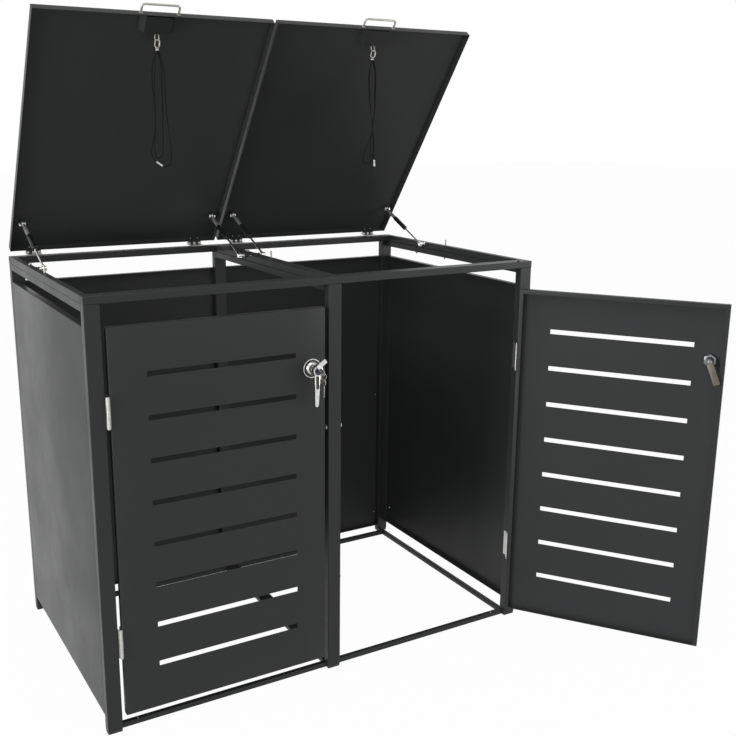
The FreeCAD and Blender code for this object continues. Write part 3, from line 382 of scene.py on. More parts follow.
def handled(tree, shader, size, low, high):
    """Gives the shader a roughness that changes over the surface."""
    wear = place_group(tree, "Handling", Size=size, Low=low, High=high)
    tree.links.new(wear.outputs["Amount"], shader.inputs["Roughness"])


def bumped(tree, shader, height, strength, distance):
    """Gives the shader a bump from a height."""
    bump = tree.nodes.new("ShaderNodeBump")
    bump.inputs["Strength"].default_value = strength
    bump.inputs["Distance"].default_value = distance
    tree.links.new(height, bump.inputs["Height"])
    tree.links.new(bump.outputs["Normal"], shader.inputs["Normal"])


def brushed(tree, shader, size, low, high, strength):
    """Gives the shader fine lines, in its roughness and in its surface."""
    lines = place_group(tree, "Brushing", Size=size, Low=low, High=high)
    tree.links.new(lines.outputs["Amount"], shader.inputs["Roughness"])
    bumped(tree, shader, lines.outputs["Height"], strength, BRUSHING_HEIGHT)


def grained(tree, shader, size, strength, distance):
    """Gives the shader the fine pitting of a sprayed or moulded surface."""
    grain = place_group(tree, "Surface grain", Size=size)
    bumped(tree, shader, grain.outputs["Height"], strength, distance)


def braided(tree, shader):
    """Gives the shader two sets of slanted strands."""
    place = object_place(tree)
    heights = []
    for slant in (STRAND_SLANT, -STRAND_SLANT):
        turn = tree.nodes.new("ShaderNodeMapping")
        turn.inputs["Rotation"].default_value = (0.0, slant, 0.0)
        tree.links.new(place, turn.inputs["Vector"])
        strands = tree.nodes.new("ShaderNodeTexWave")
        strands.bands_direction = "Z"
        strands.inputs["Scale"].default_value = STRAND_SCALE
        tree.links.new(turn.outputs["Vector"], strands.inputs["Vector"])
        heights.append(strands.outputs["Fac"])
    bumped(tree, shader, larger(tree, *heights), 0.6, 0.0003)
    shader.inputs["Roughness"].default_value = CORD_ROUGHNESS


class Coat(NamedTuple):
    """How a finish looks. Its colour is three values, or the name of one that a user may change."""
    slot: str
    colour: object
    tint: tuple  # size, darkest and lightest share of the colour
    wear: tuple = ()  # size, lowest and highest roughness
    brushing: tuple = ()  # size, lowest and highest roughness, strength of the bump
    grain: tuple = ()  # size, strength and height of the bump
    braid: bool = False
    metallic: float = 0.0
    specular: float = 0.5


BRUSHING_HEIGHT = 0.0002
STRAND_SLANT = 0.7
STRAND_SCALE = 260.0
CORD_ROUGHNESS = 0.85
PAINT_TINT = (5.0, 0.92, 1.08)
PAINT_WEAR = (3.0, -0.05, 0.07)
PAINT_GRAIN = (700.0, 0.25, 0.0004)

COATS = {
    # Satin powder coat of the frame, the walls and the doors, and a duller one on the lids.
    # Their wear is added to the roughness that a user may change.
    "powder_coat": Coat("anthracite", "paint", PAINT_TINT, wear=PAINT_WEAR, grain=PAINT_GRAIN,
                        specular=0.2),
    "lid_coat": Coat("anthracite", "paint", PAINT_TINT, wear=PAINT_WEAR, grain=PAINT_GRAIN,
                     specular=0.13),
    # Powder coat darkened as painted shade in the folded channels behind the lids' handles, which are
    # really painted like the lids
    "channel_coat": Coat("anthracite", (0.014, 0.0145, 0.015), (8.0, 0.85, 1.2), wear=(12.0, 0.4, 0.52),
                         grain=PAINT_GRAIN, specular=0.2),
    # Polished plating with a little haze from handling, its colour broken into large light and dark
    # patches: painted reflection of the surroundings, with some smudging
    "chrome_plate": Coat("chrome", "chrome", (70.0, 0.45, 1.35), wear=(60.0, 0.10, 0.24), metallic=1.0),
    # Clean bright plating of the studs, nuts and eyes
    "bright_plate": Coat("zinc", (0.86, 0.86, 0.84), (60.0, 0.9, 1.1), wear=(80.0, 0.12, 0.3),
                         metallic=1.0),
    # Dark plating used as painted shade in a rosette's hollow and as a painted dark reflection on a grip
    "smoked_plate": Coat("chrome", (0.055, 0.055, 0.050), (120.0, 0.7, 1.5), wear=(150.0, 0.25, 0.4),
                         metallic=1.0),
    # Warm nickel plating that use has dulled
    "worn_plate": Coat("chrome", (0.38, 0.37, 0.345), (90.0, 0.6, 1.3), wear=(120.0, 0.26, 0.46),
                       metallic=1.0),
    # Bright zinc with fine lines and a dull bloom
    "zinc_plate": Coat("zinc", "zinc", (40.0, 0.75, 1.1), brushing=(90.0, 0.28, 0.5, 0.2), metallic=1.0),
    # Warm grey brushed steel of the cams
    "brushed_plate": Coat("chrome", (0.150, 0.136, 0.115), (28.0, 0.6, 1.4),
                          brushing=(120.0, 0.38, 0.6, 0.3), metallic=1.0),
    # Cool grey plating of a lock's nut and screw
    "gun_metal": Coat("chrome", (0.20, 0.205, 0.21), (110.0, 0.55, 1.5), wear=(140.0, 0.18, 0.34),
                      metallic=1.0),
    # Dark bluish face of a lock's plug
    "dark_plug": Coat("chrome", (0.055, 0.06, 0.075), (120.0, 0.8, 1.2), wear=(200.0, 0.22, 0.38),
                      metallic=1.0),
    # Satin grey enamel of the struts' collars, and gloss black enamel of their tubes
    "grey_collar": Coat("strut_sleeve", (0.16, 0.16, 0.165), (50.0, 0.85, 1.15), wear=(60.0, 0.32, 0.46)),
    "gloss_sleeve": Coat("strut_sleeve", (0.008, 0.008, 0.009), (40.0, 0.8, 1.3), wear=(50.0, 0.30, 0.42),
                         specular=0.3),
    # Matt black plastic with a moulded grain, and dull black rubber that also serves as painted shade in a
    # lock's keyway
    "moulded_plastic": Coat("black_plastic", (0.016, 0.016, 0.017), (20.0, 0.85, 1.2),
                            wear=(30.0, 0.5, 0.65), grain=(1200.0, 0.3, 0.0003)),
    "soft_rubber": Coat("rubber", (0.012, 0.012, 0.012), (80.0, 0.8, 1.3), wear=(90.0, 0.7, 0.85),
                        grain=(2000.0, 0.2, 0.0002)),
    # Black braid of the cords
    "braided_cord": Coat("cord", "cord", (200.0, 0.7, 1.5), braid=True, specular=0.15),
}


def make_coat(name):
    """Makes the material of a finish."""
    coat = COATS[name]
    users_own = isinstance(coat.colour, str)
    colour = getattr(colours(), coat.colour) if users_own else coat.colour
    material, tree, shader = new_material(name, colour)
    tinted(tree, shader, colour, *coat.tint)
    if coat.wear:
        size, low, high = coat.wear
        base = colours().paint_roughness if coat.colour == "paint" else 0.0
        handled(tree, shader, size, base + low, base + high)
    if coat.brushing:
        brushed(tree, shader, *coat.brushing)
    if coat.grain:
        grained(tree, shader, *coat.grain)
    if coat.braid:
        braided(tree, shader)
    shader.inputs["Metallic"].default_value = coat.metallic
    shader.inputs["Specular IOR Level"].default_value = coat.specular
    return material


def finish(name):
    """The material of a finish, made when it is first asked for."""
    return bpy.data.materials.get(name) or make_coat(name)


# Shapes

# Degrees between faces below which they are shaded as one
SMOOTH_BELOW = 35.0
SHEET_SMOOTH_BELOW = 30.0


def along(start, direction):
    """The matrix that puts local Z along a direction, from a point."""
    return Matrix.Translation(start) @ Vector(direction).to_track_quat("Z", "Y").to_matrix().to_4x4()


def open_lid():
    """The turn from a closed lid to an open one."""
    turn = Matrix.Rotation(-LID_TURN, 4, "X")
    return Matrix.Translation(LID_AXIS) @ turn @ Matrix.Translation(-LID_AXIS)


def open_door():
    """The turn from the closed right door to the open one."""
    turn = Matrix.Rotation(DOOR_TURN, 4, "Z")
    return Matrix.Translation(DOOR_AXIS) @ turn @ Matrix.Translation(-DOOR_AXIS)


def tilted_lock():
    """The turn of the right lock's handle, which hangs at a slant on the open door."""
    turn = Matrix.Rotation(LOCK_TILT, 4, "Y")
    return Matrix.Translation(LOCK) @ turn @ Matrix.Translation(-LOCK)


def mirrored():
    """The mirror from the right side to the left."""
    return Matrix.Scale(-1.0, 4, (1.0, 0.0, 0.0))


def both_sides():
    """Each side's name, and the matrix that brings a right-hand shape there."""
    return ("left", mirrored()), ("right", Matrix.Identity(4))


def moved(bm, matrix):
    """Moves a shape, and turns its faces out again after a mirror."""
    bmesh.ops.transform(bm, matrix=matrix, verts=bm.verts)
    if matrix.determinant() < 0:
        bmesh.ops.reverse_faces(bm, faces=bm.faces)
    return bm


def joined(shapes):
    """Several shapes as one."""
    whole = bmesh.new()
    for shape in shapes:
        mesh = bpy.data.meshes.new("part")
        shape.to_mesh(mesh)
        shape.free()
        whole.from_mesh(mesh)
        bpy.data.meshes.remove(mesh)
    return whole


def placed(thing):
    """Puts an object in the scene."""
    bpy.context.scene.collection.objects.link(thing)
    return thing


def evaluated_mesh(thing):
    """The mesh of an object, as its modifiers or its curve's settings leave it."""
    bpy.context.view_layer.update()
    depsgraph = bpy.context.evaluated_depsgraph_get()
    return bpy.data.meshes.new_from_object(thing.evaluated_get(depsgraph))


def dress(piece, finish_name, body, stands_for=()):
    """Finish, body and replaced nodes of a piece."""
    piece.data.materials.clear()
    piece.data.materials.append(finish(finish_name))
    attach(piece, body)
    if stands_for:
        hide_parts(*stands_for)
    return piece


def new_piece(name, bm, finish_name, body, stands_for=()):
    """Makes a shape a piece of the store."""
    mesh = bpy.data.meshes.new(name)
    bm.to_mesh(mesh)
    bm.free()
    mesh.shade_smooth()
    mesh.set_sharp_from_angle(angle=math.radians(SMOOTH_BELOW))
    return dress(placed(bpy.data.objects.new(name, mesh)), finish_name, body, stands_for)


def block(low, high):
    """A block between two corners."""
    bm = bmesh.new()
    low, high = Vector(low), Vector(high)
    span = high - low
    matrix = Matrix.Translation((low + high) / 2) @ Matrix.Diagonal((*span, 1.0))
    bmesh.ops.create_cube(bm, size=1.0, matrix=matrix)
    return bm


def rounded(bm, edges, radius, segments):
    """Rounds edges of a shape."""
    bmesh.ops.bevel(bm, geom=edges, offset=radius, offset_type="OFFSET", segments=segments, profile=0.5,
                    affect="EDGES", clamp_overlap=True, material=-1)
    return bm


def edges_through(bm):
    """The edges of a flat shape that run along Y, through its thickness."""
    return [edge for edge in bm.edges if abs(edge.verts[0].co.y - edge.verts[1].co.y) > 0.001]


def sharp_edges(bm, angle):
    """The edges whose faces meet at more than an angle."""
    return [edge for edge in bm.edges if edge.calc_face_angle(0.0) > angle]


def rounded_block(one, other, radius=0.0005):
    """A block with all its edges rounded, between two corners given in any order."""
    low = [min(pair) for pair in zip(one, other)]
    high = [max(pair) for pair in zip(one, other)]
    bm = block(low, high)
    return rounded(bm, bm.edges[:], radius, 2)


def spun(profile, matrix, steps=32):
    """A turned shape from (radius, height) points round local Z, closed where it meets the axis."""
    bm = bmesh.new()
    points = [bm.verts.new((radius, 0.0, height)) for radius, height in profile]
    edges = [bm.edges.new((points[k], points[k + 1])) for k in range(len(points) - 1)]
    bmesh.ops.spin(bm, geom=points + edges, cent=(0, 0, 0), axis=(0, 0, 1), dvec=(0, 0, 0),
                   angle=math.tau, steps=steps, use_merge=True, use_duplicate=False)
    bmesh.ops.remove_doubles(bm, verts=bm.verts, dist=1e-6)
    bmesh.ops.recalc_face_normals(bm, faces=bm.faces)
    return moved(bm, matrix)


def bar(start, end, radius, edge=0.0004, steps=24):
    """A round bar with softened ends."""
    start, end = Vector(start), Vector(end)
    length = (end - start).length
    profile = ((0, 0), (radius - edge, 0), (radius, edge), (radius, length - edge),
               (radius - edge, length), (0, length))
    return spun(profile, along(start, end - start), steps)


def hex_block(start, direction, across, height, chamfer):
    """A hexagonal nut's outside with its corners turned off."""
    bm = bmesh.new()
    corner = across / math.sqrt(3)
    bmesh.ops.create_cone(bm, cap_ends=True, segments=6, radius1=corner, radius2=corner, depth=height,
                          matrix=Matrix.Translation((0, 0, height / 2)))
    rims = [edge for edge in bm.edges if abs(edge.verts[0].co.z - edge.verts[1].co.z) < 1e-7]
    rounded(bm, rims, chamfer, 2)
    return moved(bm, along(start, direction))


def screw_head(place, direction, radius=0.004, height=0.0022):
    """A domed screw head with a hollow in its middle."""
    dome = ((0.45 * radius, 0.45 * height), (0.5 * radius, height), (0.8 * radius, 0.8 * height),
            (radius, 0.25 * height), (radius, 0.0))
    shell = ((0.0, 0.45 * height),) + dome + ((0.0, 0.0),)
    return spun(shell, along(place, direction), 12)


def bent_wire(name, corners, bend, radius, cyclic=False):
    """A round wire through corners, as a mesh, with an arc at each corner between its ends."""
    curve = bpy.data.curves.new(name, "CURVE")
    curve.dimensions = "3D"
    curve.bevel_depth = radius
    curve.bevel_resolution = 4
    curve.use_fill_caps = True
    spline = curve.splines.new("BEZIER")
    corners = [Vector(corner) for corner in corners]
    stations = []
    count = len(corners)
    for k, corner in enumerate(corners):
        if not cyclic and k in (0, count - 1):
            stations.append((corner, corner, corner))
            continue
        back = (corners[k - 1] - corner).normalized()
        ahead = (corners[(k + 1) % count] - corner).normalized()
        pull = 0.45 * bend
        begin, end = corner + back * bend, corner + ahead * bend
        stations.append((begin, begin, corner + back * pull))
        stations.append((end, corner + ahead * pull, end))
    spline.bezier_points.add(len(stations) - 1)
    for point, (place, left, right) in zip(spline.bezier_points, stations):
        point.co, point.handle_left, point.handle_right = place, left, right
    spline.use_cyclic_u = cyclic
    spline.resolution_u = 6
    holder = placed(bpy.data.objects.new(name, curve))
    mesh = evaluated_mesh(holder)
    bm = bmesh.new()
    bm.from_mesh(mesh)
    bpy.data.objects.remove(holder)
    bpy.data.meshes.remove(mesh)
    bmesh.ops.remove_doubles(bm, verts=bm.verts, dist=1e-7)
    bmesh.ops.recalc_face_normals(bm, faces=bm.faces)
    return bm


def folded_pan(low, high, open_side, lip=0.0, low_lip=0.0, slots=()):
    """A folded sheet pan between two corners, outside only, with one side open."""
    bm = block(low, high)
    open_side = Vector(open_side)
    mouth = [face for face in bm.faces if face.normal.dot(open_side) > 0.5]
    if lip:
        bmesh.ops.inset_region(bm, faces=mouth, thickness=lip, use_boundary=True, use_even_offset=True)
        for vert in mouth[0].verts:
            if vert.co.z < low.z + 1.5 * lip:
                vert.co.z = low.z + low_lip
    bmesh.ops.delete(bm, geom=mouth, context="FACES")
    folds = [edge for edge in bm.edges if len(edge.link_faces) == 2 and edge.calc_face_angle() > 0.5]
    rounded(bm, folds, sizes().fold, 3)
    if slots:
        cut_slots(bm, open_side, slots)
    return bm


def cut_slots(bm, open_side, slots):
    """Cuts slots, given as (x0, x1, z0, z1), into the plate of a standing pan."""
    plate = max((face for face in bm.faces if face.normal.dot(open_side) < -0.99),
                key=lambda face: face.calc_area())
    depth = plate.calc_center_median().y
    lines = {(value, (1, 0, 0)) for slot in slots for value in slot[:2]}
    lines |= {(value, (0, 0, 1)) for slot in slots for value in slot[2:]}
    for value, normal in sorted(lines):
        faces = [face for face in bm.faces if abs(face.normal.y) > 0.99
                 and abs(face.calc_center_median().y - depth) < 1e-6]
        geom = faces + list({edge for face in faces for edge in face.edges})
        geom += list({vert for face in faces for vert in face.verts})
        bmesh.ops.bisect_plane(bm, geom=geom, dist=1e-7, plane_co=Vector(normal) * value, plane_no=normal)
    gone = []
    for face in bm.faces:
        centre = face.calc_center_median()
        if abs(face.normal.y) < 0.99 or abs(centre.y - depth) > 1e-6:
            continue
        for x0, x1, z0, z1 in slots:
            if x0 < centre.x < x1 and z0 < centre.z < z1:
                gone.append(face)
    bmesh.ops.delete(bm, geom=gone, context="FACES")


def new_sheet(name, bm, finish_name, body, stands_for):
    """Makes a folded shape a piece of sheet, as thick inwards from its outer face as the sheet is."""
    piece = new_piece(name, bm, finish_name, body, stands_for)
    solid = piece.modifiers.new("sheet", "SOLIDIFY")
    solid.thickness = sizes().sheet
    solid.offset = -1.0
    solid.use_even_offset = True
    mesh = evaluated_mesh(piece)
    mesh.name = piece.name
    piece.modifiers.clear()
    piece.data = mesh
    mesh.set_sharp_from_angle(angle=math.radians(SHEET_SMOOTH_BELOW))


# Pieces

FORWARD = (0, -1, 0)
REARWARD = (0, 1, 0)
UPWARD = (0, 0, 1)


def door_slots():
    """The eight slots of the closed right door, as (x0, x1, z0, z1)."""
    middle = (DOOR_LOW.x + DOOR_HIGH.x) / 2 + SLOT_SHIFT
    half = sizes().slot_length / 2
    tall = sizes().slot_height / 2
    rows = [FIRST_SLOT_Z + k * sizes().slot_pitch for k in range(SLOT_COUNT)]
    return [(middle - half, middle + half, z - tall, z + tall) for z in rows]


def make_doors():
    """Both doors: slotted pans with a lip turned in."""
    for side, matrix in (("left", mirrored()), ("right", open_door())):
        bm = folded_pan(DOOR_LOW, DOOR_HIGH, REARWARD, DOOR_LIP, DOOR_LOW_LIP, door_slots())
        new_sheet("door_sheet_" + side, moved(bm, matrix), "powder_coat", "door_" + side,
                  ("door_panel_" + side,))


def make_walls():
    """Side and rear panels."""
    side_low = (POST_INNER_X + WALL_DEPTH, -POST_INNER_Y, SIDE_WALL_BOTTOM)
    side_high = (HALF_WIDTH, POST_INNER_Y, PANEL_TOP)
    rear_low = (MIDDLE_POST_HALF, HALF_DEPTH - WALL_DEPTH, REAR_WALL_BOTTOM)
    rear_high = (POST_INNER_X, HALF_DEPTH, PANEL_TOP)
    walls = (("side", side_low, side_high, (-1, 0, 0)), ("rear", rear_low, rear_high, FORWARD))
    for side, matrix in both_sides():
        for place, low, high, open_side in walls:
            wall = moved(folded_pan(low, high, open_side), matrix)
            new_sheet(place + "_wall_" + side, wall, "powder_coat", "frame", (place + "_panel_" + side,))


def make_lid_sheets():
    """Both lids: pans with their open side down, swung open."""
    for side, mirror in both_sides():
        bm = moved(folded_pan(LID_LOW, LID_HIGH, (0, 0, -1)), mirror @ open_lid())
        new_sheet("lid_sheet_" + side, bm, "lid_coat", "lid_" + side, ("lid_panel_" + side,))


def make_lid_handles():
    """The wire bow on each lid's front flange, with a collar at each foot."""
    z = LID_LOW.z + BOW_RISE
    y0, y1 = LID_LOW.y, LID_LOW.y - BOW_REACH
    x0, x1 = LID_MIDDLE_X - BOW_HALF, LID_MIDDLE_X + BOW_HALF
    for side, mirror in both_sides():
        corners = ((x0, y0 + 0.0005, z), (x0, y1, z), (x1, y1, z), (x1, y0 + 0.0005, z))
        shapes = [bent_wire("bow", corners, BOW_BEND, sizes().wire)]
        for x in (x0, x1):
            collar = ((0, 0), (0.0052, 0), (0.0052, 0.0012), (0.0042, 0.0022), (0.0, 0.0022))
            shapes.append(spun(collar, along((x, y0, z), FORWARD), 20))
        bm = moved(joined(shapes), mirror @ open_lid())
        new_piece("lid_bow_" + side, bm, "worn_plate", "lid_" + side, ("lid_handle_" + side,))


def on_lock_axis(depth, way):
    """The matrix that puts local Z on the axis of the closed right lock, from a depth."""
    return along((LOCK.x, depth, LOCK.z), way)


def rosette():
    """The rosette on the closed right door: a rim round a hollow with an inner cone."""
    profile = ((0.0112, 0.0), (0.027, 0.0), (0.027, 0.0030), (0.0264, 0.0046), (0.0252, 0.0052),
               (0.0242, 0.0046), (0.0238, 0.0028), (0.0178, 0.0028), (0.0172, 0.0048),
               (0.0140, 0.0084), (0.0125, 0.0090), (0.0112, 0.0086), (0.0112, 0.0))
    return spun(profile, on_lock_axis(DOOR_FACE_Y, FORWARD), 48)


def rosette_hollow_painted_shade():
    """A dark ring on the floor of the hollow between a rosette's rim and its cone, on the closed right
    door: painted shade in the hollow.
    """
    profile = ((0.0182, 0.0022), (0.0236, 0.0022), (0.0236, 0.0034), (0.0182, 0.0031), (0.0182, 0.0022))
    return spun(profile, on_lock_axis(DOOR_FACE_Y, FORWARD), 48)


def lock_nut():
    """The big nut behind the closed right door, with the barrel's threaded end."""
    start = Vector((LOCK.x, DOOR_FACE_Y + 0.0012, LOCK.z))
    nut = hex_block(start, REARWARD, 0.032, 0.008, 0.0008)
    thread = [(0.0062, 0.0085), (0.0062, 0.0)]
    for k in range(7):
        level = 0.0005 + k * 0.0022
        thread += [(0.0104, level), (0.011, level + 0.0011)]
    thread += [(0.0104, 0.0158), (0.0062, 0.0158), (0.0062, 0.0085)]
    barrel = spun(thread, on_lock_axis(DOOR_FACE_Y, REARWARD), 32)
    return [nut, barrel]


def handle_body():
    """Neck, head and hanging grip of a lock handle on the closed right door."""
    profile = ((0.0108, 0.0012), (0.0108, 0.0), (0.0130, 0.0), (0.0145, 0.0008), (0.015, 0.0022),
               (0.015, 0.0205), (0.0142, 0.0232), (0.0118, 0.0244), (0.0094, 0.0262), (0.0086, 0.029),
               (0.009, 0.0315), (0.0, 0.0315))
    head = spun(profile + ((0.0, 0.0012), (0.0108, 0.0012)), on_lock_axis(HEAD_FRONT_Y, REARWARD), 40)
    grip = block((LOCK.x - GRIP_HALF, HEAD_FRONT_Y + GRIP_FRONT, LOCK.z - GRIP_END),
                 (LOCK.x + GRIP_HALF, HEAD_FRONT_Y + GRIP_BACK, LOCK.z - GRIP_TOP))
    foot = [edge for edge in edges_through(grip) if all(vert.co.z < LOCK.z - 0.09 for vert in edge.verts)]
    rounded(grip, foot, 0.0055, 6)
    for vert in grip.verts:
        share = (LOCK.z - GRIP_TOP - vert.co.z) / GRIP_LENGTH
        width = 1.0 + GRIP_TAPER - GRIP_TAPER * share
        vert.co.x = LOCK.x + (vert.co.x - LOCK.x) * width + GRIP_LEAN * share
    rounded(grip, sharp_edges(grip, 0.6), 0.0022, 3)
    spindle = bar((LOCK.x, HEAD_FRONT_Y + 0.030, LOCK.z), (LOCK.x, CAM_Y, LOCK.z), 0.006)
    stub = bar((LOCK.x, CAM_Y - 0.001, LOCK.z), (LOCK.x, CAM_Y + CAM_THICK, LOCK.z), 0.004)
    return [head, grip, spindle, stub]


def grip_painted_reflection():
    """A thin dark block down the upper half of a grip's face, on the closed right door: a painted dark
    reflection.
    """
    hollow = block((LOCK.x - 0.0038, HEAD_FRONT_Y + 0.0036, LOCK.z - 0.051),
                   (LOCK.x + 0.0050, HEAD_FRONT_Y + 0.0052, LOCK.z - 0.012))
    return rounded(hollow, edges_through(hollow), 0.003, 5)


def plug_face():
    """The plug of the closed right lock with its keyway."""
    profile = ((0, 0), (0.0100, 0), (0.0107, 0.0006), (0.0107, 0.02), (0, 0.02))
    return spun(profile, on_lock_axis(HEAD_FRONT_Y + 0.0002, REARWARD), 32)


def keyway():
    """A thin dark block on a plug's face: painted shade for the depth of the keyway slit."""
    return rounded_block((LOCK.x - 0.0009, HEAD_FRONT_Y, LOCK.z - 0.0035),
                         (LOCK.x + 0.0009, HEAD_FRONT_Y + 0.0008, LOCK.z + 0.0035), 0.0002)


def cover_flap(pin, angle):
    """The keyhole's flap, crowned along its middle, swung up by an angle."""
    flap = block((-0.0055, 0.0, -FLAP_HALF), (0.0270, 0.0022, FLAP_HALF))
    near = [edge for edge in edges_through(flap) if edge.verts[0].co.x < 0]
    rounded(flap, near, 0.0052, 8)
    far = [edge for edge in edges_through(flap) if edge.verts[0].co.x > 0.02]
    rounded(flap, far, 0.002, 3)
    for level in (-0.0045, -0.002, 0.0, 0.002, 0.0045):
        bmesh.ops.bisect_plane(flap, geom=flap.verts[:] + flap.edges[:] + flap.faces[:], dist=1e-7,
                               plane_co=(0, 0, level), plane_no=(0, 0, 1))
    for vert in flap.verts:
        if vert.co.y < 0.001:
            vert.co.y += 0.0014 * (vert.co.z / FLAP_HALF) ** 2
    rivet = spun(((0, 0.0), (0.0028, 0.0), (0.0026, -0.0006), (0.0012, -0.001), (0, -0.001)),
                 along((0, 0.0004, 0), REARWARD), 20)
    bmesh.ops.recalc_face_normals(flap, faces=flap.faces)
    turn = Matrix.Rotation(-angle, 4, "Y")
    return moved(joined([flap, rivet]), Matrix.Translation(pin) @ turn)


def cam_lever():
    """The lever behind the closed right door, hanging down."""
    lever = block((LOCK.x - CAM_HALF, CAM_Y, LOCK.z - CAM_REACH),
                  (LOCK.x + CAM_HALF, CAM_Y + CAM_THICK, LOCK.z + CAM_HALF))
    rounded(lever, [edge for edge in edges_through(lever) if edge.verts[0].co.z > LOCK.z], 0.0085, 8)
    tips = [edge for edge in edges_through(lever) if edge.verts[0].co.z < LOCK.z - 0.06]
    rounded(lever, tips, 0.003, 4)
    return rounded(lever, sharp_edges(lever, 1.2), 0.0004, 2)


def cam_screw():
    """Washer and domed screw that hold the lever."""
    dome = ((0, 0), (0.008, 0), (0.008, 0.0008), (0.0066, 0.0008), (0.0062, 0.002), (0.0048, 0.0032),
            (0.0026, 0.0038), (0, 0.0039))
    return spun(dome, on_lock_axis(CAM_Y + CAM_THICK, REARWARD), 32)


def make_locks():
    """Rosettes, nuts, handles, cams and keyhole covers of both doors."""
    to_left = Matrix.Translation((-2 * LOCK.x, 0, 0))
    on_right = open_door()
    turned = on_right @ tilted_lock()
    pin = Vector((LOCK.x, HEAD_FRONT_Y - 0.0029, LOCK.z + 0.0115))
    for side, body_at, handle_at in (("left", mirrored(), mirrored()), ("right", on_right, turned)):
        door, lock = "door_" + side, "lock_" + side
        new_piece("rosette_" + side, moved(rosette(), body_at), "chrome_plate", door,
                  ("lock_body_" + side,))
        # The dark ring in each rosette's hollow is painted shade.
        new_piece("rosette_hollow_" + side, moved(rosette_hollow_painted_shade(), body_at), "smoked_plate", door)
        new_piece("lock_nut_" + side, moved(joined(lock_nut()), body_at), "gun_metal", door)
        new_piece("handle_" + side, moved(joined(handle_body()), handle_at), "chrome_plate", lock,
                  ("lock_handle_" + side,))
        # The dark patch on each grip is a painted reflection.
        new_piece("grip_hollow_" + side, moved(grip_painted_reflection(), handle_at), "smoked_plate", lock)
        new_piece("cam_" + side, moved(cam_lever(), handle_at), "brushed_plate", lock,
                  ("lock_cam_" + side,))
        new_piece("cam_screw_" + side, moved(cam_screw(), handle_at), "gun_metal", lock)
        flap_at = to_left if side == "left" else turned
        new_piece("keyhole_flap_" + side, moved(cover_flap(pin, FLAP_TURN), flap_at),
                  "chrome_plate", "cover_" + side, ("keyhole_cover_" + side,))
    new_piece("plug_right", moved(plug_face(), turned), "dark_plug", "lock_right")
    # The dark keyway block is painted shade.
    new_piece("keyway_right", moved(keyway(), turned), "soft_rubber", "lock_right")
    new_piece("plug_left", moved(plug_face(), mirrored()), "dark_plug", "key_left")


def key_shape():
    """A flat key that points along +Y into a keyhole at the origin, with its bow at -Y."""
    blade = rounded_block((-0.001, -0.017, -0.0025), (0.001, 0.018, 0.0025), 0.0003)
    bow = bmesh.new()
    for radius, shift in ((0.010, 0.0), (0.0022, -0.005)):
        bmesh.ops.create_circle(bow, cap_ends=False, radius=radius, segments=32,
                                matrix=Matrix.Translation((0, -0.024 + shift, 0)))
    bmesh.ops.bridge_loops(bow, edges=bow.edges[:])
    bmesh.ops.solidify(bow, geom=bow.faces[:], thickness=0.002)
    bmesh.ops.recalc_face_normals(bow, faces=bow.faces)
    rounded(bow, sharp_edges(bow, 1.2), 0.0004, 2)
    low = min(vert.co.z for vert in bow.verts)
    moved(bow, Matrix.Rotation(math.pi / 2, 4, "Y") @ Matrix.Translation((0, 0, -low - 0.001)))
    return joined([blade, bow])


def make_keys():
    """The key in the left lock, and the spare key on the ring that hangs from it."""
    place = Vector((-LOCK.x, HEAD_FRONT_Y, LOCK.z))
    hole = place - Vector((0, KEY_HOLE, 0))
    ring_middle = hole - Vector((0, 0, RING_REACH))
    angles = [math.radians(30 * k) for k in range(12)]
    corners = [ring_middle + Vector((RING_RADIUS * math.cos(a), 0, RING_RADIUS * math.sin(a)))
               for a in angles]
    ring = bent_wire("ring", corners, 0.0018, 0.0008, True)
    key = moved(key_shape(), Matrix.Translation(place))
    ring_low = ring_middle - Vector((0, 0, RING_REACH))
    hang = Matrix.Translation(ring_low) @ Matrix.Rotation(-math.pi / 2, 4, "X")
    spare = moved(key_shape(), hang @ Matrix.Translation((0, KEY_HOLE, 0)))
    new_piece("keys", joined([key, spare, ring]), "worn_plate", "key_left", ("lock_cylinder_and_keys",))


def strut_line():
    """The way from a strut's upper stud to its lower one, and its length."""
    line = STRUT_FOOT - STRUT_TOP
    return line.normalized(), line.length


def strut_sockets(top, at):
    """The eye at a strut's upper end, with the neck that the collar screws onto."""
    neck = ((0, 0.004), (0.0046, 0.004), (0.0046, 0.0205), (0.0052, 0.0215), (0.0052, 0.0228), (0, 0.0228))
    return [spun(STRUT_EYE, along(top, (1, 0, 0)), 24), spun(neck, at, 24)]


def strut_collar(at):
    """The grey collar above a strut's sleeve."""
    profile = ((0, 0.022), (0.0052, 0.022), (0.006, 0.0235), (0.006, 0.0655), (0.0056, 0.0665),
               (0.0056, 0.068), (0, 0.068))
    return spun(profile, at, 24)


def strut_sleeve(at):
    """The enamelled tube of a strut, rolled in round its rod."""
    profile = ((0, 0.0675), (0.0066, 0.0675), (0.0075, 0.0692), (0.0075, 0.1395), (0.0070, 0.1415),
               (0.0058, 0.1428), (0.0036, 0.143), (0.0, 0.143))
    return spun(profile, at, 32)


def strut_bar(at, length):
    """The bright rod of a strut, from inside its tube to its lower eye."""
    profile = ((0, 0.120), (0.003, 0.120), (0.003, length - 0.014), (0, length - 0.014))
    return spun(profile, at, 24)


def strut_foot(foot, at, length):
    """The eye at a strut's lower end, with the neck that the rod screws into."""
    neck = ((0, length - 0.016), (0.0042, length - 0.016), (0.0046, length - 0.0145),
            (0.0046, length - 0.004), (0, length - 0.004))
    return [spun(STRUT_EYE, along(foot, (1, 0, 0)), 24), spun(neck, at, 24)]


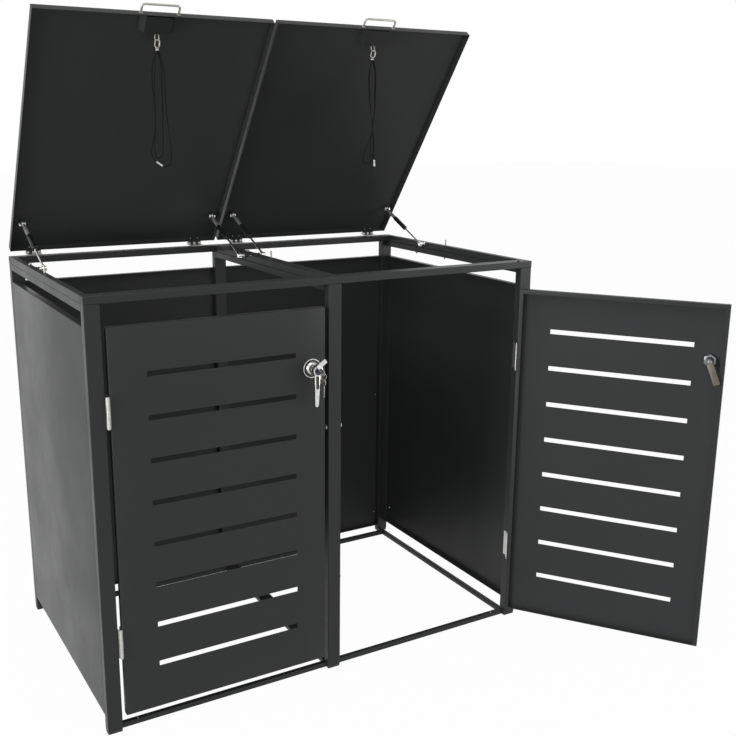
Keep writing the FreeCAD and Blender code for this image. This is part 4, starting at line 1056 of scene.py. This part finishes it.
def make_struts():
    """Eyes, collars, sleeves and rods of the four gas struts."""
    line, length = strut_line()
    for side, sign in (("left", -1.0), ("right", 1.0)):
        sockets, collars, sleeves, rods, feet = [], [], [], [], []
        for x in STRUT_X:
            top = STRUT_TOP + Vector((sign * x, 0, 0))
            foot = STRUT_FOOT + Vector((sign * x, 0, 0))
            at = along(top, line)
            sockets += strut_sockets(top, at)
            collars.append(strut_collar(at))
            sleeves.append(strut_sleeve(at))
            rods.append(strut_bar(at, length))
            feet += strut_foot(foot, at, length)
        tubes, bars = "strut_tubes_" + side, "strut_rods_" + side
        new_piece("strut_sockets_" + side, joined(sockets), "zinc_plate", tubes)
        new_piece("strut_collars_" + side, joined(collars), "grey_collar", tubes)
        new_piece("strut_sleeves_" + side, joined(sleeves), "gloss_sleeve", tubes, (tubes,))
        new_piece("strut_bars_" + side, joined(rods), "chrome_plate", bars, (bars,))
        new_piece("strut_feet_" + side, joined(feet), "bright_plate", bars)


def lid_bracket_plates(x, side):
    """The folded plate of a strut's bracket under the closed right lid."""
    ear_x = x + side * STRUT_EAR
    y, z = LID_STUD_Y, LID_STUD_Z
    ear = rounded_block((ear_x, y - EAR_HALF, z - EAR_DROP),
                        (ear_x + side * PLATE_THICK, y + EAR_HALF, LID_INSIDE))
    plate = rounded_block((ear_x, y - PLATE_HALF, LID_INSIDE - PLATE_THICK),
                          (ear_x + side * PLATE_REACH, y + PLATE_HALF, LID_INSIDE))
    return [ear, plate]


def lid_bracket_studs(x, side):
    """Stud and nut of a strut's bracket under the closed right lid."""
    y, z = LID_STUD_Y, LID_STUD_Z
    across = Vector((side, 0, 0))
    ear = Vector((x + side * STRUT_EAR, y, z))
    far = Vector((x - side * STRUT_EAR, y, z))
    return [bar(ear, far, 0.0045), hex_block(ear + across * PLATE_THICK, across, 0.012, 0.005, 0.0008)]


def rail_bracket_plate(x, side):
    """The plate on a rail that carries the lower stud of a strut."""
    rail_x = x + side * STRUT_FROM_RAIL
    y, z = STRUT_FOOT.y, STRUT_FOOT.z
    return rounded_block((rail_x, y - PLATE_HALF, z - EAR_DROP),
                         (rail_x - side * PLATE_THICK, y + PLATE_HALF, RAIL_TOP))


def rail_bracket_studs(x, side):
    """Stud and nut of the plate that carries the lower end of a strut."""
    rail = Vector((x + side * STRUT_FROM_RAIL, STRUT_FOOT.y, STRUT_FOOT.z))
    inward = Vector((-side, 0, 0))
    stud = bar(rail, (x + side * 0.0068, rail.y, rail.z), 0.004)
    return [stud, hex_block(rail + inward * PLATE_THICK, inward, 0.011, 0.006, 0.0006)]


def make_strut_brackets():
    """Plates, studs and nuts that hold the gas struts."""
    rail_plates, rail_studs = [], []
    for side, mirror in both_sides():
        plates, studs = [], []
        for x, away in zip(STRUT_X, (-1, 1)):
            plates += lid_bracket_plates(x, away)
            studs += lid_bracket_studs(x, away)
            rail_plates.append(moved(rail_bracket_plate(x, away), mirror))
            rail_studs.append(moved(joined(rail_bracket_studs(x, away)), mirror))
        on_lid = mirror @ open_lid()
        new_piece("strut_plates_" + side, moved(joined(plates), on_lid), "powder_coat", "lid_" + side,
                  ("strut_lid_brackets_" + side,))
        new_piece("strut_studs_" + side, moved(joined(studs), on_lid), "bright_plate", "lid_" + side)
    new_piece("rail_plates", joined(rail_plates), "powder_coat", "frame", ("strut_rail_brackets",))
    new_piece("rail_studs", joined(rail_studs), "bright_plate", "frame")


def oval_link(half, low, high, radius):
    """A link of round wire in the XZ plane between two heights, with rounded ends."""
    corners = ((-half, 0, high), (half, 0, high), (half, 0, low), (-half, 0, low))
    return bent_wire("link", corners, 0.92 * half, radius, True)


def hook_gate(half, low, high):
    """The sprung gate along one side of a snap hook, with the pin that it turns on."""
    gate = bar((half, 0, high), (half, 0, low), 0.0021, 0.0005, 16)
    pin_x, pin_z = half - 0.0003, low + 0.001
    pin = bar((pin_x, -0.0026, pin_z), (pin_x, 0.0026, pin_z), 0.0011, 0.0003, 12)
    return [gate, pin]


def hook_barrel():
    """The swivel barrel below a snap hook, from its top down, hollow where the cord goes in."""
    profile = ((0, -0.0012), (0.0024, -0.0012), (0.0026, 0.0006), (0.0034, 0.0012), (0.0046, 0.0016),
               (0.005, 0.0022), (0.005, 0.0036), (0.0044, 0.0042), (0.005, 0.0048), (0.005, 0.0072),
               (0.0046, 0.0079), (0.0038, 0.0079), (0.0036, 0.006), (0, 0.006))
    return spun(profile, Matrix.Rotation(math.pi, 4, "X"), 24)


def leaning(angle, height):
    """A lean sideways by an angle about a point at a height on local Z."""
    turn = Matrix.Rotation(math.radians(angle), 4, "Y")
    return Matrix.Translation((0, 0, height)) @ turn @ Matrix.Translation((0, 0, -height))


def make_snap_hooks():
    """Snap hooks: a link in the lid's lug, the gated hook linked into it and its swivel barrel."""
    for side, x, turn, lean in HOOKS:
        top = Matrix.Translation((x, CORD_EXIT_Y, HOOK_TOP_Z))
        link = moved(oval_link(0.0055, -0.0168, 0.0, 0.0014), top @ leaning(-lean, -0.002))
        hook = [oval_link(0.006, -0.0345, -0.0136, 0.0014)] + hook_gate(0.006, -0.030, -0.019)
        turned = top @ Matrix.Rotation(math.radians(turn), 4, "Z") @ leaning(lean, -0.0345)
        hook = moved(joined(hook), turned)
        barrel = moved(hook_barrel(), top @ Matrix.Translation((0, 0, -0.0345)))
        new_piece("snap_hook_body_" + side, joined([link, hook, barrel]), "worn_plate",
                  "lanyard_" + side, ("snap_hook_" + side,))


def cord_route(x, points):
    """The route of a cord laid double, out of the barrel, twice round and back into it."""
    start = Vector((x, CORD_EXIT_Y, CORD_EXIT_Z))
    route = [start + Vector((-CORD_STRAND, CORD_STRAND, 0))]
    route += [start + Vector(point) for point in points]
    return route + [start + Vector((CORD_STRAND, CORD_STRAND, 0))]


def cord_curve(name, route, diameter):
    """A round cord along one smooth line that the route's points control."""
    curve = bpy.data.curves.new(name, "CURVE")
    curve.dimensions = "3D"
    curve.bevel_depth = diameter / 2
    curve.bevel_resolution = 3
    spline = curve.splines.new("NURBS")
    spline.points.add(len(route) - 1)
    for point, place in zip(spline.points, route):
        point.co = (*place, 1.0)
    spline.order_u = 3
    spline.use_endpoint_u = True
    spline.resolution_u = 8
    return placed(bpy.data.objects.new(name, curve))


def crimp(start, end):
    """A crimped metal sleeve at the middle of one run of a cord's route."""
    middle = (start + end) / 2
    line = (end - start).normalized()
    profile = [(0.0014, 0.0), (0.0029, 0.0), (0.0032, 0.0006)]
    for k in range(3):
        level = 0.0045 + k * 0.0045
        profile += [(0.0032, level), (0.0027, level + 0.0008), (0.0027, level + 0.0018),
                    (0.0032, level + 0.0026)]
    profile += [(0.0032, 0.0194), (0.0029, 0.020), (0.0014, 0.020), (0.0014, 0.0)]
    return spun(profile, along(middle - line * 0.010, line), 24)


def make_cords():
    """The doubled cord under each lid with its crimped sleeve."""
    for side, x, points, run, length in CORDS:
        route = cord_route(x, points)
        body = "lanyard_" + side
        sleeve = new_piece("cord_sleeve_" + side, crimp(route[run], route[run + 1]), "zinc_plate", body,
                           ("lanyard_ferrule_" + side,))
        cord = cord_curve("cord_loop_" + side, route, sizes().cord)
        dress(cord, "braided_cord", body, ("lanyard_cord_" + side,))


def make_bumpers():
    """Domed rubber bumpers on the front rail."""
    shapes = []
    for x in BUMPER_X:
        profile = ((0, 0), (0.004, 0), (0.004, 0.002), (0.0034, 0.003), (0.002, 0.0034), (0, 0.0035))
        shapes.append(spun(profile, along((x, BUMPER_Y, RAIL_TOP), UPWARD), 20))
    new_piece("bumpers", joined(shapes), "soft_rubber", "frame", ("lid_bumpers",))


# Small bolt ends of the frame, on its right side: place, the way that they face, radius, height
FRAME_SCREWS = (
    ((0.6788, 0.3611, 0.1009), (-1, 0, 0), 0.0035, 0.0028),
    ((0.6340, 0.4063, 0.0757), FORWARD, 0.0022, 0.0018),
    ((0.6340, 0.4063, 0.5570), FORWARD, 0.0020, 0.0014),
    ((0.6436, 0.3823, 0.0095), FORWARD, 0.0026, 0.0020),
    ((0.5951, -0.3930, 0.0170), UPWARD, 0.0026, 0.0010),
)


def make_frame_screws():
    """Small screws and bolt ends inside the frame, and the bolt low in the middle post."""
    screws = []
    for place, way, radius, height in FRAME_SCREWS:
        for mirror in (Matrix.Identity(4), mirrored()):
            screws.append(moved(screw_head(place, way, radius, height), mirror))
    screws.append(screw_head((-0.0225, 0.0875, RAIL_TOP), UPWARD, 0.003, 0.0012))
    screws.append(hex_block((0.020, -0.395, 0.284), (1, 0, 0), 0.011, 0.005, 0.0008))
    new_piece("frame_screws", joined(screws), "zinc_plate", "frame")


def lid_nut_places():
    """Where the hinges' nuts sit on the closed right lid's rear flange, inside."""
    places = []
    for x in LID_HINGE_X:
        for shift in (-LID_NUT_SHIFT, LID_NUT_SHIFT):
            places.append(Vector((x + shift, LID_HIGH.y - 0.0012, LID_LOW.z + LID_NUT_RISE)))
    return places


def make_fasteners():
    """Nuts and bolt ends of the lids' hinges."""
    inward = Vector(FORWARD)
    for side, mirror in both_sides():
        nuts = [hex_block(place, inward, 0.007, 0.003, 0.0004) for place in lid_nut_places()]
        ends = [bar(place, place + inward * 0.0042, 0.002, 0.0005, 16) for place in lid_nut_places()]
        at = mirror @ open_lid()
        new_piece("lid_hinge_nuts_" + side, moved(joined(nuts), at), "moulded_plastic", "lid_" + side)
        new_piece("lid_hinge_bolts_" + side, moved(joined(ends), at), "zinc_plate", "lid_" + side)


NODE_FINISHES = (
    ("powder_coat", ("post_", "top_rail_", "second_rails", "bottom_rail", "side_panel_", "rear_panel_",
                     "door_panel_", "lid_panel_")),
    # The handle channels' darker coat is painted shade.
    ("channel_coat", ("handle_bracket_",)),
    ("moulded_plastic", ("foot_caps", "rail_end_plugs", "lid_hinge_leaves_")),
    ("soft_rubber", ("lid_bumpers",)),
    ("worn_plate", ("frame_bolts",)),
    ("zinc_plate", ("door_hinge_", "lid_hinge_rail_leaves", "hinge_pins",
                    "strut_lid_brackets_", "strut_rail_brackets", "strut_rods_", "lanyard_ferrule_")),
    ("chrome_plate", ("lock_", "keyhole_cover_", "snap_hook_", "lid_handle_")),
    ("gloss_sleeve", ("strut_tubes_",)),
    ("braided_cord", ("lanyard_cord_",)),
)


def finish_nodes():
    """Gives every node of the frame its finish."""
    for name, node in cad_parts.items():
        for finish_name, starts in NODE_FINISHES:
            if name.startswith(starts):
                node.data.materials.clear()
                node.data.materials.append(finish(finish_name))


# Stage


CAMERA_PLACE = (-1.2834, -2.6924, 1.5701)
CAMERA_ANGLES = (30.4804, 14.0812, 0.4694)
CAMERA_LENS = 48.13
CAMERA_SHIFT = (0.0184, 0.0015)

# Each lamp's name, which is its power's too, its place, the point that it faces and its size
LAMPS = (
    ("key", (-4.4, -0.5, 1.4), (0.0, 0.0, 0.7), 2.6),
    ("top", (-0.8, -1.2, 4.2), (0.0, 0.0, 0.8), 2.5),
    ("fill", (2.2, -2.2, 1.1), (0.1, -0.3, 0.9), 1.2),
)
FLOOR_HALF = 30.0
FLOOR_GREY = 0.42
FLOOR_SEEN_WHITE = 0.98


def set_camera():
    """The camera where the photograph was taken from."""
    yaw, pitch, roll = (math.radians(angle) for angle in CAMERA_ANGLES)
    ahead = Vector((math.sin(yaw) * math.cos(pitch), math.cos(yaw) * math.cos(pitch), -math.sin(pitch)))
    right = Vector((math.cos(yaw), -math.sin(yaw), 0.0))
    up = right.cross(ahead)
    across = math.cos(roll) * right + math.sin(roll) * up
    upward = -math.sin(roll) * right + math.cos(roll) * up
    data = bpy.data.cameras.new("camera")
    data.sensor_width = 36.0
    data.lens = CAMERA_LENS
    data.shift_x, data.shift_y = CAMERA_SHIFT
    data.clip_end = 200.0
    camera = placed(bpy.data.objects.new("camera", data))
    turn = Matrix((across, upward, -ahead)).transposed().to_4x4()
    camera.matrix_world = Matrix.Translation(CAMERA_PLACE) @ turn
    bpy.context.scene.camera = camera


def soft_light(name, place, target, size, power):
    """A large soft lamp that points at a target."""
    data = bpy.data.lights.new(name, "AREA")
    data.shape = "SQUARE"
    data.size = size
    data.energy = power
    lamp = placed(bpy.data.objects.new(name, data))
    look = (Vector(target) - Vector(place)).to_track_quat("-Z", "Y").to_matrix().to_4x4()
    lamp.matrix_world = Matrix.Translation(place) @ look


def seen_as_white(tree, shader_output, share):
    """Mixes a shader with white light for what the camera, gloss and glass see."""
    path = tree.nodes.new("ShaderNodeLightPath")
    seen = path.outputs["Is Camera Ray"]
    for label in ("Is Glossy Ray", "Is Transmission Ray"):
        seen = larger(tree, seen, path.outputs[label])
    part = tree.nodes.new("ShaderNodeMath")
    part.operation = "MULTIPLY"
    part.inputs[1].default_value = share
    tree.links.new(seen, part.inputs[0])
    white = tree.nodes.new("ShaderNodeEmission")
    mix = tree.nodes.new("ShaderNodeMixShader")
    tree.links.new(part.outputs["Value"], mix.inputs["Fac"])
    tree.links.new(shader_output, mix.inputs[1])
    tree.links.new(white.outputs["Emission"], mix.inputs[2])
    return mix.outputs["Shader"]


def make_floor():
    """The pale floor."""
    bm = bmesh.new()
    bmesh.ops.create_grid(bm, x_segments=1, y_segments=1, size=FLOOR_HALF)
    mesh = bpy.data.meshes.new("floor")
    bm.to_mesh(mesh)
    bm.free()
    floor = placed(bpy.data.objects.new("floor", mesh))
    material, tree, shader = new_material("floor_white", (0.9, 0.9, 0.9))
    shader.inputs["Base Color"].default_value = (FLOOR_GREY, FLOOR_GREY, FLOOR_GREY, 1.0)
    shader.inputs["Roughness"].default_value = 0.9
    shader.inputs["Specular IOR Level"].default_value = 0.0
    surface = seen_as_white(tree, shader.outputs["BSDF"], FLOOR_SEEN_WHITE)
    tree.links.new(surface, tree.nodes["Material Output"].inputs["Surface"])
    mesh.materials.append(material)


def make_surroundings(strength):
    """The light from all round, seen as white."""
    world = bpy.data.worlds.new("surroundings")
    world.use_nodes = True
    bpy.context.scene.world = world
    tree = world.node_tree
    sky = tree.nodes["Background"]
    sky.inputs["Color"].default_value = (1.0, 1.0, 1.0, 1.0)
    sky.inputs["Strength"].default_value = strength
    surface = seen_as_white(tree, sky.outputs["Background"], 1.0)
    tree.links.new(surface, tree.nodes["World Output"].inputs["Surface"])


def make_stage():
    """Pale floor, white surroundings, soft lamps and camera."""
    levels = bpy.context.scene.bin_store_stage
    make_floor()
    make_surroundings(levels.sky)
    for name, place, target, size in LAMPS:
        soft_light(name, place, target, size, getattr(levels, name))
    bpy.context.scene.view_settings.view_transform = "Standard"
    set_camera()


# Operators


class BINSTORE_OT_nodes(bpy.types.Operator):
    """Give the frame's tubes, plugs and bolts their finishes"""
    bl_idname = "binstore.nodes"
    bl_label = "Frame finishes"

    def execute(self, context):
        finish_nodes()
        return {"FINISHED"}


class BINSTORE_OT_cords(bpy.types.Operator):
    """Hang the cord loops with their crimped sleeves"""
    bl_idname = "binstore.cords"
    bl_label = "Cord loops"

    def execute(self, context):
        make_cords()
        return {"FINISHED"}


class BINSTORE_OT_snap_hooks(bpy.types.Operator):
    """Make the snap hooks above the cords"""
    bl_idname = "binstore.snap_hooks"
    bl_label = "Snap hooks"

    def execute(self, context):
        make_snap_hooks()
        return {"FINISHED"}


class BINSTORE_OT_doors(bpy.types.Operator):
    """Fold the two slotted doors"""
    bl_idname = "binstore.doors"
    bl_label = "Doors"

    def execute(self, context):
        make_doors()
        return {"FINISHED"}


class BINSTORE_OT_walls(bpy.types.Operator):
    """Fold the side and rear panels"""
    bl_idname = "binstore.walls"
    bl_label = "Walls"

    def execute(self, context):
        make_walls()
        return {"FINISHED"}


class BINSTORE_OT_lids(bpy.types.Operator):
    """Fold the two lids"""
    bl_idname = "binstore.lids"
    bl_label = "Lids"

    def execute(self, context):
        make_lid_sheets()
        return {"FINISHED"}


class BINSTORE_OT_lid_handles(bpy.types.Operator):
    """Bend the wire handles of the lids"""
    bl_idname = "binstore.lid_handles"
    bl_label = "Lid handles"

    def execute(self, context):
        make_lid_handles()
        return {"FINISHED"}


class BINSTORE_OT_locks(bpy.types.Operator):
    """Make both locks with their handles, cams and keyhole flaps"""
    bl_idname = "binstore.locks"
    bl_label = "Locks"

    def execute(self, context):
        make_locks()
        return {"FINISHED"}


class BINSTORE_OT_keys(bpy.types.Operator):
    """Make the key, its ring and the spare key"""
    bl_idname = "binstore.keys"
    bl_label = "Keys"

    def execute(self, context):
        make_keys()
        return {"FINISHED"}


class BINSTORE_OT_struts(bpy.types.Operator):
    """Make the four gas struts"""
    bl_idname = "binstore.struts"
    bl_label = "Gas struts"

    def execute(self, context):
        make_struts()
        return {"FINISHED"}


class BINSTORE_OT_strut_brackets(bpy.types.Operator):
    """Make the plates, studs and nuts that hold the gas struts"""
    bl_idname = "binstore.strut_brackets"
    bl_label = "Strut brackets"

    def execute(self, context):
        make_strut_brackets()
        return {"FINISHED"}


class BINSTORE_OT_bumpers(bpy.types.Operator):
    """Make the rubber bumpers on the front rail"""
    bl_idname = "binstore.bumpers"
    bl_label = "Bumpers"

    def execute(self, context):
        make_bumpers()
        return {"FINISHED"}


class BINSTORE_OT_frame_screws(bpy.types.Operator):
    """Make the small screws and bolt ends inside the frame"""
    bl_idname = "binstore.frame_screws"
    bl_label = "Frame screws"

    def execute(self, context):
        make_frame_screws()
        return {"FINISHED"}


class BINSTORE_OT_fasteners(bpy.types.Operator):
    """Make the nuts and bolt ends of the lids' hinges"""
    bl_idname = "binstore.fasteners"
    bl_label = "Lid hinge fasteners"

    def execute(self, context):
        make_fasteners()
        return {"FINISHED"}


class BINSTORE_OT_stage(bpy.types.Operator):
    """Set up the floor, the light and the camera"""
    bl_idname = "binstore.stage"
    bl_label = "Stage"

    def execute(self, context):
        make_stage()
        return {"FINISHED"}


OPERATORS = (
    BINSTORE_OT_stage,
    BINSTORE_OT_nodes,
    BINSTORE_OT_cords,
    BINSTORE_OT_snap_hooks,
    BINSTORE_OT_doors,
    BINSTORE_OT_walls,
    BINSTORE_OT_lids,
    BINSTORE_OT_lid_handles,
    BINSTORE_OT_locks,
    BINSTORE_OT_keys,
    BINSTORE_OT_struts,
    BINSTORE_OT_strut_brackets,
    BINSTORE_OT_bumpers,
    BINSTORE_OT_frame_screws,
    BINSTORE_OT_fasteners,
)


class BINSTORE_PT_pieces(bpy.types.Panel):
    """Lists the store's pieces and their sizes and colours"""
    bl_idname = "BINSTORE_PT_pieces"
    bl_label = "Wheelie bin store"
    bl_space_type = "VIEW_3D"
    bl_region_type = "UI"
    bl_category = "Bin store"

    def draw(self, context):
        scene = context.scene
        for settings in (scene.bin_store_sizes, scene.bin_store_finish, scene.bin_store_stage):
            for name in settings.__annotations__:
                self.layout.prop(settings, name)
        for operator in OPERATORS:
            self.layout.operator(operator.bl_idname)


CLASSES = (BinStoreSizes, BinStoreFinish, BinStoreStage, *OPERATORS, BINSTORE_PT_pieces)


def register():
    """Registers the classes and the settings."""
    for item in CLASSES:
        bpy.utils.register_class(item)
    bpy.types.Scene.bin_store_sizes = PointerProperty(type=BinStoreSizes)
    bpy.types.Scene.bin_store_finish = PointerProperty(type=BinStoreFinish)
    bpy.types.Scene.bin_store_stage = PointerProperty(type=BinStoreStage)


def unregister():
    """Takes the settings and the classes away again."""
    del bpy.types.Scene.bin_store_stage
    del bpy.types.Scene.bin_store_finish
    del bpy.types.Scene.bin_store_sizes
    for item in reversed(CLASSES):
        bpy.utils.unregister_class(item)


def main():
    """Makes every piece."""
    register()
    for operator in OPERATORS:
        group, action = operator.bl_idname.split(".")
        getattr(getattr(bpy.ops, group), action)()


if __name__ == "__main__":
    main()
